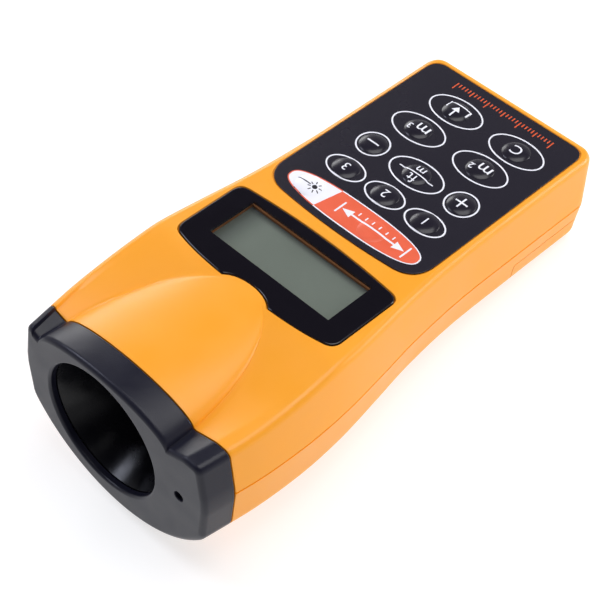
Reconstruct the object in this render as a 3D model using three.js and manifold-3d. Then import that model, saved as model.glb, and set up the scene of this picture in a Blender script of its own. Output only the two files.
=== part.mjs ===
// Hand-held ultrasonic distance meter with a laser pointer, as an assembly of separate pieces.
//
// Design frame, in millimetres: X across the meter, Y along it and Z out of the keypad. The
// keypad's face is z = 0, its tail edge is y = 0, and the nose points towards -Y. The finished
// group is tilted so that the belly and the tail both stand on z = 0, +Z up.

import * as THREE from 'three';
import { mergeVertices } from 'three/addons/utils/BufferGeometryUtils.js';
import Module from 'manifold-3d';

const wasm = await Module();
wasm.setup();

// ---------------------------------------------------------------- driving dimensions

const GAP = 0.3;                 // clearance between two pieces that meet
const WALL = 2.2;                // moulded wall of the housings and of the nose cap

// Plan of the housings.
const TAIL_Y = 3.0;              // end face of the tail
const NOSE_Y = -159.9;           // front face of the nose cap
const CAP_REAR_Y = -150.4;       // where the nose cap meets the housings
const CAP_EDGE = 1.6;            // rounding of the cap's front edge
const TAIL_CORNER = 5.5;         // plan radius of the tail's corners
const HALF_WIDTHS = [            // [y, half width at the parting line]
  [-160, 35.9], [-150, 37.4], [-141, 38.5], [-124, 39.1], [-109, 38.3], [-94, 36.4],
  [-79, 34.3], [-58, 32.6], [-32, 32.3], [3, 32.3],
];

// Heights of the housings.
const PART_Z = -18.5;            // parting line between the two housings
const TOP_DRAFT = 0.5;           // how far the walls lean in above the parting line
const HEAD_DRAFT = 1.4;          // extra lean at the wide head
const LOW_DRAFT = 1.2;           // how far the walls lean in below the parting line
const TOP_EDGE = 2.4;            // rounding along the top edges
const TOP_CROWN = 0.1;           // the top face is this much lower at its sides
const CORNER_Z = -33.0;          // height where the side walls turn under
const HEAD_SAG = 18.2;           // depth of the belly's arc below that height, at the head
const TAIL_SAG = 0.9;            // and at the tail
const BELLY_FRONT_Y = -134;      // the belly is full depth in front of this
const BELLY_REAR_Y = -62;        // and has run out behind this

// Dome over the horn, on the top of the head.
const DOME_REAR_Y = -110;        // where the dome rises out of the flat top
const DOME_LENGTH = 50;
const DOME_HALF = 25.2;          // half width at the nose
const DOME_SHIFT = -3.7;         // the dome leans to this X at the nose, over the horn
const DOME_RISE = 0.9;           // apex above the keypad plane, at the nose
const SHOULDER_DROP = 6.6;       // the shoulders beside it fall this far
const SHOULDER_RISE = 2.6;       // and climb back this much towards the outer edges

// Horn, transducer and laser, on axes along Y.
const HORN_X = -4.8;
const HORN_Z = -23.4;
const MOUTH_R = 21.1;
const THROAT_R = 7.6;
const THROAT_Y = -119;
const HORN_WALL = 1.2;
const CAN_R = 8.1;
const LASER_X = 26.0;
const LASER_Z = -22.0;
const LASER_HOLE_R = 1.6;
const LASER_R = 3.2;

// Keypad, display and board stack.
const PAD_HALF = 29.45;          // half width of the keypad overlay
const PAD_FRONT_Y = -77.4;       // middle of its bowed front edge
const PAD_POCKET = 0.6;          // depth of its pocket
const PAD_TOP = 0.02;
const KEY_R = 4.4;               // embossed dome of a key
const KEY_RISE = 0.75;
const KEY_SIDES = 16;
const KEY_TRAVEL = 0.35;
const WINDOW_HALF = 30.8;
const WINDOW_REAR_Y = -81.6;
const WINDOW_FRONT_Y = -111.6;
const WINDOW_POCKET = 1.75;
const LCD_HALF = 23.0;           // visible area of the display
const LCD_REAR_Y = -85.7;
const LCD_FRONT_Y = -102.8;
const LCD_BORDER = 1.2;          // glass of the display beyond its visible area
const LCD_TOP = -1.75;           // the glass lies close under the window
const LCD_THICK = 2.15;
const BOARD_TOP = -8.0;
const BOARD_THICK = 1.6;

// Battery and its door.
const BATTERY = [48.5, 26.5, 17.5];
const BATTERY_TOP = -11.9;
const BATTERY_X = 0.6;           // off centre, to leave room for the snap on its studs
const BATTERY_Y = -15.2;
const DOOR_FRONT_Y = -30.5;
const DOOR_TOP_Z = -24.6;
const TRAY_ROOF = -10.3;
const BULKHEAD_Y = -33;
const TONGUES_X = [-15, 15];     // tongues on the door's front edge, hooked into the housing
const TONGUE_LENGTH = 7;
const TONGUE_Z = [-31.2, -29.9];
const LEAD_R = 0.6;
const LEAD_ROUTES = {
  red: [[-24.9, -27.6, -19.8], [-24.9, -34, -19.4], [-24.6, -37.6, -15.5], [-24.4, -38.4, -9.9]],
  black: [[-24.9, -27.6, -22.6], [-24.8, -34.6, -22.4], [-21.6, -40, -17], [-20.6, -41.6, -9.9]],
};

// Fasteners: [x, y, height of the screw head's seat].
const SCREWS = [[-31, -122, -27.5], [31, -122, -27.5], [-25.5, -66, -28.5], [25.5, -66, -28.5]];

// The angle that puts the belly and the tail on one level floor.
const REST_TILT = THREE.MathUtils.degToRad(7.62);

// Keys: [name, x, y].
const KEYS = [
  ['memory_1', 16.2, -56.6], ['memory_2', 0.8, -56.6], ['memory_3', -14.7, -56.5],
  ['plus', 18.4, -43.4], ['units', 1.3, -43.6], ['minus', -16.4, -43.1],
  ['area', 12.4, -28.2], ['volume', -11.6, -28.3],
  ['clear', 14.9, -14.7], ['store', -9.1, -14.2],
  ['measure', 8.2, -70.0], ['laser', -17.0, -69.6],
];

// ---------------------------------------------------------------- materials

const plastic = (color, roughness) => new THREE.MeshStandardMaterial({ color, roughness, metalness: 0 });
const metal = (color, roughness) => new THREE.MeshStandardMaterial({ color, roughness, metalness: 1 });

const ORANGE = plastic(0xffa52b, 0.42);
const CHARCOAL = plastic(0x2b2b31, 0.45);
const GLOSS_BLACK = plastic(0x0c0c10, 0.12);
const OVERLAY_FILM = plastic(0x25242c, 0.4);
const ACTION_RED = plastic(0xff6642, 0.4);
const ACTION_WHITE = plastic(0xf2f0ee, 0.4);
const RUBBER_GREY = plastic(0xb9bcc0, 0.7);
const BOARD_GREEN = plastic(0x1f5a36, 0.5);
const LCD_GLASS = plastic(0x76807a, 0.2);
const BRASS = metal(0xc9a24a, 0.3);
const STEEL = metal(0xb4b8bd, 0.35);
const BATTERY_SLEEVE = plastic(0x3a3f47, 0.35);
const WIRE_RED = plastic(0xc22a22, 0.5);
const WIRE_BLACK = plastic(0x15151a, 0.5);

// ---------------------------------------------------------------- solids

// A closed three.js geometry as a manifold-3d solid.
function solid(geometry) {
  const bare = geometry.clone();
  bare.deleteAttribute('normal');
  bare.deleteAttribute('uv');
  const merged = mergeVertices(bare, 1e-4);
  const vertProperties = Float32Array.from(merged.attributes.position.array);
  const triVerts = Uint32Array.from(merged.index.array);
  return new wasm.Manifold(new wasm.Mesh({ numProp: 3, vertProperties, triVerts }));
}

// A manifold-3d solid as a three.js geometry.
function surface(body) {
  const mesh = body.getMesh();
  const geometry = new THREE.BufferGeometry();
  geometry.setAttribute('position', new THREE.BufferAttribute(mesh.vertProperties, 3));
  geometry.setIndex(new THREE.BufferAttribute(mesh.triVerts, 1));
  return geometry;
}

// A box from its lowest and highest corners.
function block(x0, y0, z0, x1, y1, z1) {
  const geometry = new THREE.BoxGeometry(x1 - x0, y1 - y0, z1 - z0);
  return solid(geometry.translate((x0 + x1) / 2, (y0 + y1) / 2, (z0 + z1) / 2));
}

// A cylinder standing along Z between two heights.
function post(x, y, z0, z1, radius, sides = 16) {
  const geometry = new THREE.CylinderGeometry(radius, radius, z1 - z0, sides);
  return solid(geometry.rotateX(Math.PI / 2).translate(x, y, (z0 + z1) / 2));
}

// A cylinder lying along Y between two stations.
function barrel(x, z, y0, y1, radius, sides = 24) {
  const geometry = new THREE.CylinderGeometry(radius, radius, y1 - y0, sides);
  return solid(geometry.translate(x, (y0 + y1) / 2, z));
}

// A turned piece standing along Z: profile is [radius, z], from the axis back to the axis.
function turned(profile, x, y, sides = 20) {
  const points = profile.map(([r, z]) => new THREE.Vector2(r, z));
  return new THREE.LatheGeometry(points, sides).rotateX(Math.PI / 2).translate(x, y, 0);
}

// A turned piece lying along Y: profile is [radius, y], closed on the axis or on itself.
function turnedAlongY(profile, x, z, sides = 32) {
  const points = profile.map(([r, y]) => new THREE.Vector2(r, y));
  return new THREE.LatheGeometry(points, sides).translate(x, 0, z);
}

// A flat outline extruded from z0 up to z1.
function plate(shape, z0, z1, curveSegments = 4) {
  const options = { depth: z1 - z0, bevelEnabled: false, curveSegments };
  return solid(new THREE.ExtrudeGeometry(shape, options).translate(0, 0, z0));
}

// A closed skin through rings of equal point count, each [y, [[x, z], ...]], front to back.
function loft(rings) {
  const count = rings[0][1].length;
  const positions = [];
  const index = [];
  for (const [y, ring] of rings) {
    for (const [x, z] of ring) positions.push(x, y, z);
  }
  for (let row = 0; row + 1 < rings.length; row += 1) {
    for (let i = 0; i < count; i += 1) {
      const a = row * count + i;
      const b = row * count + (i + 1) % count;
      index.push(a, b, a + count, b, b + count, a + count);
    }
  }
  for (const row of [0, rings.length - 1]) {
    const outline = rings[row][1].map(([x, z]) => new THREE.Vector2(x, z));
    const flip = (row === 0) !== THREE.ShapeUtils.isClockWise(outline);
    for (const [i, j, k] of THREE.ShapeUtils.triangulateShape(outline, [])) {
      const [a, b, c] = [i, j, k].map((n) => row * count + n);
      index.push(...(flip ? [a, c, b] : [a, b, c]));
    }
  }
  const geometry = new THREE.BufferGeometry();
  geometry.setAttribute('position', new THREE.Float32BufferAttribute(positions, 3));
  geometry.setIndex(index);
  const body = solid(geometry);
  return body.volume() > 0 ? body : solid(flipped(geometry));
}

function flipped(geometry) {
  const index = Array.from(geometry.index.array);
  for (let i = 0; i < index.length; i += 3) {
    [index[i + 1], index[i + 2]] = [index[i + 2], index[i + 1]];
  }
  const turnedOver = geometry.clone();
  turnedOver.setIndex(index);
  return turnedOver;
}

// ---------------------------------------------------------------- outer shape

const clamp01 = (t) => THREE.MathUtils.clamp(t, 0, 1);
const widthCurve = new THREE.CatmullRomCurve3(
  HALF_WIDTHS.map(([y, w]) => new THREE.Vector3(w, y, 0)), false, 'centripetal');
const widthPoints = widthCurve.getPoints(90);

function halfWidth(y) {
  const i = Math.max(1, widthPoints.findIndex((point) => point.y >= y));
  const [a, b] = [widthPoints[i - 1], widthPoints[i]];
  return THREE.MathUtils.lerp(a.x, b.x, clamp01((y - a.y) / (b.y - a.y)));
}

const crownZ = (x) => -TOP_CROWN * (x / HALF_WIDTHS[0][1]) ** 2;

// How far along the dome a station is: 0 where it starts, 1 at the nose.
const domeReach = (y) => clamp01((DOME_REAR_Y - y) / DOME_LENGTH);
const domeHalf = (y) => Math.max(6, DOME_HALF * Math.sqrt(1 - (1 - domeReach(y)) ** 2));
const domeCentre = (y) => DOME_SHIFT * domeReach(y);
const shoulderDrop = (y) => 1 - (1 - domeReach(y)) ** 1.6;

function shoulderZ(x, y, edge) {
  const outward = Math.abs(x - domeCentre(y)) - domeHalf(y);
  const t = clamp01(outward / (edge - domeHalf(y)));
  return crownZ(x) + shoulderDrop(y) * (SHOULDER_RISE * t - SHOULDER_DROP);
}

function domeZ(x, y) {
  const u = clamp01(Math.abs(x - domeCentre(y)) / domeHalf(y));
  const foot = -SHOULDER_DROP * shoulderDrop(y);
  return crownZ(x) + foot + (DOME_RISE * domeReach(y) - foot) * Math.sqrt(1 - u * u);
}

// The section above the parting line, left to right, set in by an inset.
function upperLine(y, inset) {
  const wide = halfWidth(y) - inset;
  const headness = clamp01((-60 - y) / 60);
  const top = wide - TOP_DRAFT - HEAD_DRAFT * headness;
  const edge = Math.max(TOP_EDGE - inset, 0.8);
  const flatEnd = top - edge;
  const cornerZ = shoulderZ(flatEnd, y, flatEnd) - inset;
  const side = [];
  for (let i = 0; i <= 3; i += 1) {
    const a = (i / 3) * Math.PI / 2;
    side.push([flatEnd + edge * Math.cos(a), cornerZ - edge + edge * Math.sin(a)]);
  }
  const [left, right] = [domeCentre(y) - domeHalf(y), domeCentre(y) + domeHalf(y)];
  const crown = [];
  for (const t of [0.33, 0.67]) {
    const x = THREE.MathUtils.lerp(-flatEnd, left, t);
    crown.push([x, shoulderZ(x, y, flatEnd) - inset]);
  }
  for (let i = 0; i <= 10; i += 1) {
    const x = domeCentre(y) - domeHalf(y) * Math.cos((i / 10) * Math.PI);
    crown.push([x, domeZ(x, y) - inset]);
  }
  for (const t of [0.33, 0.67]) {
    const x = THREE.MathUtils.lerp(right, flatEnd, t);
    crown.push([x, shoulderZ(x, y, flatEnd) - inset]);
  }
  const rightSide = [...side].reverse();
  const leftSide = side.map(([x, z]) => [-x, z]);
  return [[-wide, PART_Z], ...leftSide, ...crown, ...rightSide, [wide, PART_Z]];
}

// The section below the parting line, right to left, set in by an inset.
function lowerLine(y, inset) {
  const wide = halfWidth(y) - inset;
  const low = wide - LOW_DRAFT;
  const cornerZ = CORNER_Z + inset;
  const t = clamp01((y - BELLY_FRONT_Y) / (BELLY_REAR_Y - BELLY_FRONT_Y));
  const ease = t * t * (3 - 2 * t);
  const sag = THREE.MathUtils.lerp(HEAD_SAG, TAIL_SAG, ease);
  const round = THREE.MathUtils.lerp(2.0, 5.0, ease) - inset / 2;
  const radius = (low * low + sag * sag) / (2 * sag);
  const arcZ = (x) => cornerZ - sag + radius - Math.sqrt(radius * radius - x * x);
  const inner = low - round;
  const corner = [];
  for (const s of [0, 0.33, 0.67]) {
    const [p, q, r] = [(1 - s) ** 2, 2 * s * (1 - s), s * s];
    corner.push([(p + q) * low + r * inner, p * (cornerZ + round) + q * cornerZ + r * arcZ(inner)]);
  }
  const belly = [];
  for (let i = 0; i <= 10; i += 1) {
    const x = inner * Math.cos((i / 10) * Math.PI);
    belly.push([x, arcZ(x)]);
  }
  const leftCorner = [...corner].reverse().map(([x, z]) => [-x, z]);
  return [[wide, PART_Z], ...corner, ...belly, ...leftCorner, [-wide, PART_Z]];
}

const OUTER_STATIONS = [
  CAP_REAR_Y + GAP / 2, -145, -139, -133, -127, -121, -116.5, -113, -111, -109.9,
  -102, -94, -86, -78, -70, -60, -45, TAIL_Y,
];
const INNER_STATIONS = [CAP_REAR_Y, -139, -127, -117, -109.9, -94, -78, -60, TAIL_Y];

// A housing's full body; past is how far it runs on beyond the parting line, 0 for not at all.
function housingBody(inset, line, past) {
  const stations = inset > 0 ? INNER_STATIONS : OUTER_STATIONS;
  const rings = stations.map((y, i) => {
    let station = y;
    if (i === stations.length - 1) station = y - inset;
    if (i === 0 && inset > 0) station = y - 1;
    const ring = line(Math.max(station, CAP_REAR_Y), inset);
    if (past === 0) return [station, ring];
    const [first, last] = [ring[0], ring[ring.length - 1]];
    return [station, [...ring, [last[0], PART_Z + past], [first[0], PART_Z + past]]];
  });
  return loft(rings);
}

// Plan and side outlines that round the tail's corners and edges.
function tailTrim(inset) {
  const far = 60;
  const edge = TAIL_Y - inset;
  const w = halfWidth(0) - inset;
  const r = TAIL_CORNER - inset / 2;
  const plan = new THREE.Shape();
  plan.moveTo(-far, NOSE_Y - 5);
  plan.lineTo(far, NOSE_Y - 5);
  plan.lineTo(far, -40);
  plan.lineTo(w, -40);
  plan.lineTo(w, edge - r);
  plan.absarc(w - r, edge - r, r, 0, Math.PI / 2, false);
  plan.absarc(-w + r, edge - r, r, Math.PI / 2, Math.PI, false);
  plan.lineTo(-w, -40);
  plan.lineTo(-far, -40);
  const planBody = plate(plan, -far, far, 8);
  const top = TOP_EDGE - Math.min(inset, 1.4);
  const bottom = 4 - Math.min(inset, 2);
  const side = new THREE.Shape();
  side.moveTo(NOSE_Y - 5, -far);
  side.lineTo(-40, -far);
  side.lineTo(-40, CORNER_Z - TAIL_SAG + inset);
  side.lineTo(edge - bottom, CORNER_Z - TAIL_SAG + inset);
  side.quadraticCurveTo(edge, CORNER_Z - TAIL_SAG + inset, edge, CORNER_Z - TAIL_SAG + inset + bottom);
  side.lineTo(edge, -inset - top);
  side.quadraticCurveTo(edge, -inset, edge - top, -inset);
  side.lineTo(-40, -inset);
  side.lineTo(-40, far);
  side.lineTo(NOSE_Y - 5, far);
  const options = { depth: 2 * far, bevelEnabled: false, curveSegments: 4 };
  const sideGeometry = new THREE.ExtrudeGeometry(side, options);
  const toYZ = new THREE.Matrix4().set(0, 0, 1, -far, 1, 0, 0, 0, 0, 1, 0, 0, 0, 0, 0, 1);
  return planBody.intersect(solid(sideGeometry.applyMatrix4(toYZ)));
}

// ---------------------------------------------------------------- outlines

// The keypad overlay, grown or shrunk by an offset.
function keypadOutline(offset) {
  const w = PAD_HALF + offset;
  const [rear, front] = [offset, PAD_FRONT_Y - offset];
  const [small, large] = [4.8, 8.5];
  const shape = new THREE.Shape();
  shape.moveTo(-w + small, rear);
  shape.quadraticCurveTo(-w, rear, -w, rear - small);
  shape.lineTo(-w, front + large + 2);
  shape.quadraticCurveTo(-w, front + 1.9, -w + large, front + 1.1);
  shape.quadraticCurveTo(0, front - 0.9, w - large, front + 1.1);
  shape.quadraticCurveTo(w, front + 1.9, w, front + large + 2);
  shape.lineTo(w, rear - small);
  shape.quadraticCurveTo(w, rear, w - small, rear);
  return shape;
}

// The display window, with the notch where the dome's crown begins.
function windowOutline(offset) {
  const w = WINDOW_HALF + offset;
  const [rear, front] = [WINDOW_REAR_Y + offset, WINDOW_FRONT_Y - offset];
  const notch = 8.9 - offset;
  const shape = new THREE.Shape();
  shape.moveTo(-w + 3, rear - 1.6);
  shape.quadraticCurveTo(-w, rear - 2.0, -w, rear - 5);
  shape.lineTo(-w, front + 6);
  shape.quadraticCurveTo(-w, front + 2.6, -w + 3.6, front + 2.0);
  shape.quadraticCurveTo(-20, front + 0.3, -notch, front);
  shape.quadraticCurveTo(-notch + 3, front + 3.0, 0, front + 3.0);
  shape.quadraticCurveTo(notch - 3, front + 3.0, notch, front);
  shape.quadraticCurveTo(20, front + 0.3, w - 3.6, front + 2.0);
  shape.quadraticCurveTo(w, front + 2.6, w, front + 6);
  shape.lineTo(w, rear - 5);
  shape.quadraticCurveTo(w, rear - 2.0, w - 3, rear - 1.6);
  shape.quadraticCurveTo(0, rear + 1.4, -w + 3, rear - 1.6);
  return shape;
}

// ---------------------------------------------------------------- housings and covers

function topHousing() {
  const outer = housingBody(0, upperLine, 0).intersect(tailTrim(0));
  const inner = housingBody(WALL, upperLine, -1).intersect(tailTrim(WALL));
  let body = outer.subtract(inner);
  body = body.subtract(plate(keypadOutline(0.2), -PAD_POCKET, 10));
  body = body.subtract(plate(windowOutline(0.2), -WINDOW_POCKET, 10));
  body = body.subtract(lcdBlock(0.3, -6, 1));
  for (const [px, py] of [[-26, -6], [26, -6], [-26, -74], [26, -74]]) {
    body = body.add(post(px, py, BOARD_TOP + GAP, -WALL + 0.2, 2, 10));
  }
  for (const [, keyX, keyY] of KEYS) {
    body = body.subtract(post(keyX, keyY, -6, 1, KEY_R + GAP, KEY_SIDES));
  }
  for (const [sx, sy] of SCREWS) {
    body = body.add(post(sx, sy, PART_Z + 0.4, -1.2, 3.2, 12).intersect(outer));
    body = body.subtract(post(sx, sy, PART_Z - 1, -9, 1.5, 10));
  }
  return surface(body);
}

function bottomOuter() {
  const belowParting = block(-80, NOSE_Y, -80, 80, 40, PART_Z - GAP);
  return housingBody(0, lowerLine, 0).intersect(tailTrim(0)).intersect(belowParting);
}

// The region that belongs to the battery door, drawn back by a gap.
function doorRegion(gap) {
  return block(-60, DOOR_FRONT_Y + gap, -80, 60, 60, DOOR_TOP_Z - gap);
}

function bottomHousing() {
  const outer = bottomOuter();
  const hollow = housingBody(WALL, lowerLine, 1).intersect(tailTrim(WALL));
  let body = outer.subtract(hollow);
  const [trayX, trayY0, trayY1] = [27.6, DOOR_FRONT_Y + 1.2, -1.4];
  const wall = 1.4;
  const bulkhead = block(-40, BULKHEAD_Y, -40, 40, BULKHEAD_Y + wall, PART_Z - 2).intersect(outer);
  const ledge = block(-40, BULKHEAD_Y, DOOR_TOP_Z + GAP, 40, 10, DOOR_TOP_Z + GAP + 1.6).intersect(outer);
  const tray = block(-trayX, BULKHEAD_Y, DOOR_TOP_Z + GAP, trayX, trayY1 + wall, TRAY_ROOF);
  const cavity = block(-trayX + wall, trayY0 - 1, -60, trayX - wall, trayY1, TRAY_ROOF - wall);
  const leadSlot = block(-26, BULKHEAD_Y - 1, DOOR_TOP_Z + 1, -23.8, trayY0 + 1, -18);
  body = body.add(bulkhead).add(ledge).add(tray).subtract(cavity).subtract(leadSlot);
  const cradle = block(LASER_X - 3, -150, -60, LASER_X + 3, -140, LASER_Z - LASER_R - GAP);
  body = body.add(cradle.intersect(outer));
  for (const [sx, sy, seat] of SCREWS) {
    body = body.add(post(sx, sy, -60, PART_Z - 0.6, 4.4, 14).intersect(outer));
    body = body.subtract(post(sx, sy, -60, seat, 3.1, 14));
    body = body.subtract(post(sx, sy, -60, -10, 1.6, 10));
  }
  for (const x of TONGUES_X) {
    const [z0, z1] = TONGUE_Z;
    body = body.subtract(block(x - 4.4, BULKHEAD_Y - 1, z0 - GAP, x + 4.4, DOOR_FRONT_Y + 1, z1 + GAP));
  }
  body = body.subtract(doorRegion(-GAP / 2));
  return surface(body);
}

function batteryDoor() {
  const outer = bottomOuter();
  const hollow = housingBody(WALL, lowerLine, 1).intersect(tailTrim(WALL));
  let body = outer.subtract(hollow).intersect(doorRegion(GAP / 2));
  const edge = DOOR_FRONT_Y + GAP / 2;
  for (const x of TONGUES_X) {
    const [z0, z1] = TONGUE_Z;
    const tongue = block(x - 4, edge - TONGUE_LENGTH, z0, x + 4, edge + 1.5, z1);
    const root = block(x - 4, edge, z0 - 2, x + 4, edge + 1.5, z1).intersect(outer);
    body = body.add(tongue).add(root);
  }
  return surface(body);
}

// Rings of the nose cap: the front edge is rounded by setting the last rings in.
function capBody(inset, rear, front, rounded) {
  const turns = rounded ? [90, 60, 30, 0] : [0];
  const stations = turns.map((degrees) => {
    const a = THREE.MathUtils.degToRad(degrees);
    const y = rounded ? front + CAP_EDGE * (1 - Math.sin(a)) : front;
    return [y, inset + (rounded ? CAP_EDGE * (1 - Math.cos(a)) : 0)];
  });
  const wholeLine = (y, setIn) => [...upperLine(y, setIn).slice(1, -1), ...lowerLine(y, setIn)];
  return loft([...stations, [rear, inset]].map(([y, setIn]) => [y, wholeLine(y, setIn)]));
}

function noseCap() {
  const outer = capBody(0, CAP_REAR_Y - GAP / 2, NOSE_Y, true);
  const inner = capBody(WALL, CAP_REAR_Y + 2, NOSE_Y + WALL, false);
  let body = outer.subtract(inner);
  body = body.subtract(barrel(HORN_X, HORN_Z, NOSE_Y - 1, NOSE_Y + WALL + 1, MOUTH_R, 48));
  body = body.subtract(barrel(HORN_X, HORN_Z, NOSE_Y + WALL, CAP_REAR_Y + 2, MOUTH_R + HORN_WALL + 0.6, 48));
  body = body.subtract(barrel(LASER_X, LASER_Z, NOSE_Y - 1, NOSE_Y + WALL + 1, LASER_HOLE_R, 16));
  return surface(body);
}

function acousticHorn() {
  const lip = NOSE_Y + WALL + GAP;
  const collar = THROAT_Y + 9;
  const seatR = CAN_R + 2.4;
  const bore = [];
  for (let i = 0; i <= 5; i += 1) {
    const t = i / 5;
    const flare = THROAT_R + (MOUTH_R - 0.2 - THROAT_R) * (1 - t) ** 1.15;
    bore.push([flare, THREE.MathUtils.lerp(lip, THROAT_Y, t)]);
  }
  const skin = bore.map(([r, y]) => [r + HORN_WALL, y]).reverse();
  const seat = [[THROAT_R, THROAT_Y + 1.2], [seatR, THROAT_Y + 1.2], [seatR, collar]];
  const back = [[seatR + HORN_WALL, collar], [seatR + HORN_WALL, THROAT_Y]];
  const profile = [...bore, ...seat, ...back, ...skin.slice(1), bore[0]];
  return turnedAlongY(profile.reverse(), HORN_X, HORN_Z, 30);
}

function displayWindow() {
  return surface(plate(windowOutline(-0.1), -WINDOW_POCKET + GAP, PAD_TOP));
}

function keypadOverlay() {
  let body = plate(keypadOutline(-0.1), -PAD_POCKET + GAP, PAD_TOP);
  for (const [, x, y] of KEYS) {
    body = body.subtract(post(x, y, -2, 2, KEY_R + GAP, KEY_SIDES));
  }
  return surface(body);
}

// ---------------------------------------------------------------- keys and switches

function keyDome(x, y) {
  const base = -PAD_POCKET + GAP;
  const profile = [[0, base], [KEY_R, base], [KEY_R, PAD_TOP]];
  for (const t of [0.4, 0.75]) {
    profile.push([KEY_R * Math.cos(t * Math.PI / 2), PAD_TOP + KEY_RISE * Math.sin(t * Math.PI / 2)]);
  }
  profile.push([0, PAD_TOP + KEY_RISE]);
  return turned(profile, x, y, KEY_SIDES);
}

function keyPlunger(x, y) {
  const [top, neck, foot] = [-PAD_POCKET, -2.6, -3.2];
  const profile = [[0, foot], [5.1, foot], [5.1, neck], [KEY_R - 0.1, neck], [KEY_R - 0.1, top], [0, top]];
  return turned(profile, x, y, 12);
}

function tactSwitch(x, y) {
  const can = block(x - 3, y - 3, BOARD_TOP + 0.05, x + 3, y + 3, BOARD_TOP + 3.4);
  return surface(can.add(post(x, y, BOARD_TOP + 3, BOARD_TOP + 4.3, 1.7, 10)));
}

// ---------------------------------------------------------------- display and board

// The display glass's block, grown sideways by an offset, between two heights.
function lcdBlock(offset, z0, z1) {
  const [x, y] = [LCD_HALF + LCD_BORDER + offset, LCD_BORDER + offset];
  return block(-x, LCD_FRONT_Y - y, z0, x, LCD_REAR_Y + y, z1);
}

// The conductive strip's block under the display's front edge, grown sideways by an offset.
function zebraBlock(offset, z0, z1) {
  const [x, y] = [LCD_HALF - 1 + offset, LCD_FRONT_Y + 0.4];
  return block(-x, y - 0.9 - offset, z0, x, y + 0.9 + offset, z1);
}

// The frame holds the glass up against the housing and stands on the board.
function lcdFrame() {
  const [x, y0, y1] = [LCD_HALF + 3.6, LCD_FRONT_Y - 4, LCD_REAR_Y + 3.4];
  const shelf = LCD_TOP - LCD_THICK - 0.05;
  const body = block(-x, y0, BOARD_TOP + 0.05, x, y1, -WINDOW_POCKET - WALL + 1);
  const hollow = block(-x + 1.6, y0 + 1.6, -9, x - 1.6, y1 - 1.6, shelf - 0.9);
  return surface(body.subtract(hollow).subtract(lcdBlock(0.3, shelf, 1)).subtract(zebraBlock(0.2, -9, 0)));
}

function lcdPanel() {
  return surface(lcdBlock(0, LCD_TOP - LCD_THICK, LCD_TOP));
}

function zebraStrip() {
  return surface(zebraBlock(0, BOARD_TOP + 0.05, LCD_TOP - LCD_THICK - 0.05));
}

function mainBoard() {
  const under = BOARD_TOP - BOARD_THICK;
  let body = block(-27.6, -109, under, 27.6, -3.6, BOARD_TOP - 0.3);
  const parts = [
    block(-8, -58, under - 1.6, 6, -44, under + 0.2),
    block(10, -56, under - 1.4, 18, -50, under + 0.2),
    block(-22, -80, under - 2.4, -14, -72, under + 0.2),
    block(12, -98, under - 4.2, 21, -89, under + 0.2),
    post(2, -74, under - 4.4, under + 0.2, 3.1, 14),
    post(10, -76, under - 3.6, under + 0.2, 2.5, 12),
    post(-20, -92, under - 3.4, under + 0.2, 2.2, 12),
  ];
  for (const part of parts) body = body.add(part);
  for (const [sx, sy] of SCREWS) body = body.subtract(post(sx, sy, -20, 0, 3.6, 12));
  return surface(body);
}

function piezoBuzzer() {
  return surface(post(-17, -50, BOARD_TOP - BOARD_THICK - 3.2, BOARD_TOP - BOARD_THICK - GAP, 5.5, 20));
}

// ---------------------------------------------------------------- transducer and laser

function ultrasonicTransducer() {
  const y0 = THROAT_Y + 1.2 + GAP;
  const can = barrel(HORN_X, HORN_Z, y0, y0 + 11.5, CAN_R, 28);
  const recess = barrel(HORN_X, HORN_Z, y0 - 1, y0 + 0.8, CAN_R - 1, 24);
  let body = can.subtract(recess);
  for (const side of [-1, 1]) {
    body = body.add(barrel(HORN_X + side * 4, HORN_Z, y0 + 11, y0 + 15.5, 0.7, 8));
  }
  return surface(body);
}

function transducerGasket() {
  const [r0, r1] = [CAN_R + GAP, CAN_R + 2.4 - GAP];
  const [y0, y1] = [THROAT_Y + 1.2 + GAP, THROAT_Y + 8];
  return turnedAlongY([[r0, y0], [r1, y0], [r1, y1], [r0, y1], [r0, y0]], HORN_X, HORN_Z, 28);
}

function laserModule() {
  const front = NOSE_Y + WALL + 1.6;
  const body = barrel(LASER_X, LASER_Z, front, front + 21, LASER_R, 20);
  const bezel = barrel(LASER_X, LASER_Z, front + 3, front + 5, LASER_R + 0.2, 20);
  const tailBoard = block(LASER_X - 0.8, front + 20, LASER_Z - 2.4, LASER_X + 0.8, front + 28, LASER_Z + 2.4);
  return surface(body.add(bezel).add(tailBoard));
}

function laserLens() {
  const front = NOSE_Y + WALL + GAP;
  const [r, rim, crown] = [2.4, front + 0.9, front];
  const profile = [[0, crown], [r / 2, crown + 0.08], [r, crown + 0.35], [r, rim], [0, rim]];
  return turnedAlongY(profile, LASER_X, LASER_Z, 16);
}

// ---------------------------------------------------------------- battery

function battery() {
  const [l, w, h] = BATTERY;
  const z = BATTERY_TOP - h;
  const [x0, x1] = [BATTERY_X - l / 2, BATTERY_X + l / 2];
  let body = block(x0, BATTERY_Y - w / 2, z, x1, BATTERY_Y + w / 2, BATTERY_TOP);
  for (const side of [-1, 1]) {
    const stud = new THREE.CylinderGeometry(2.7, 2.7, 2.2, 12).rotateZ(Math.PI / 2);
    body = body.add(solid(stud.translate(x0 - 0.9, BATTERY_Y + side * 6.3, BATTERY_TOP - h / 2)));
  }
  return surface(body);
}

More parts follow.
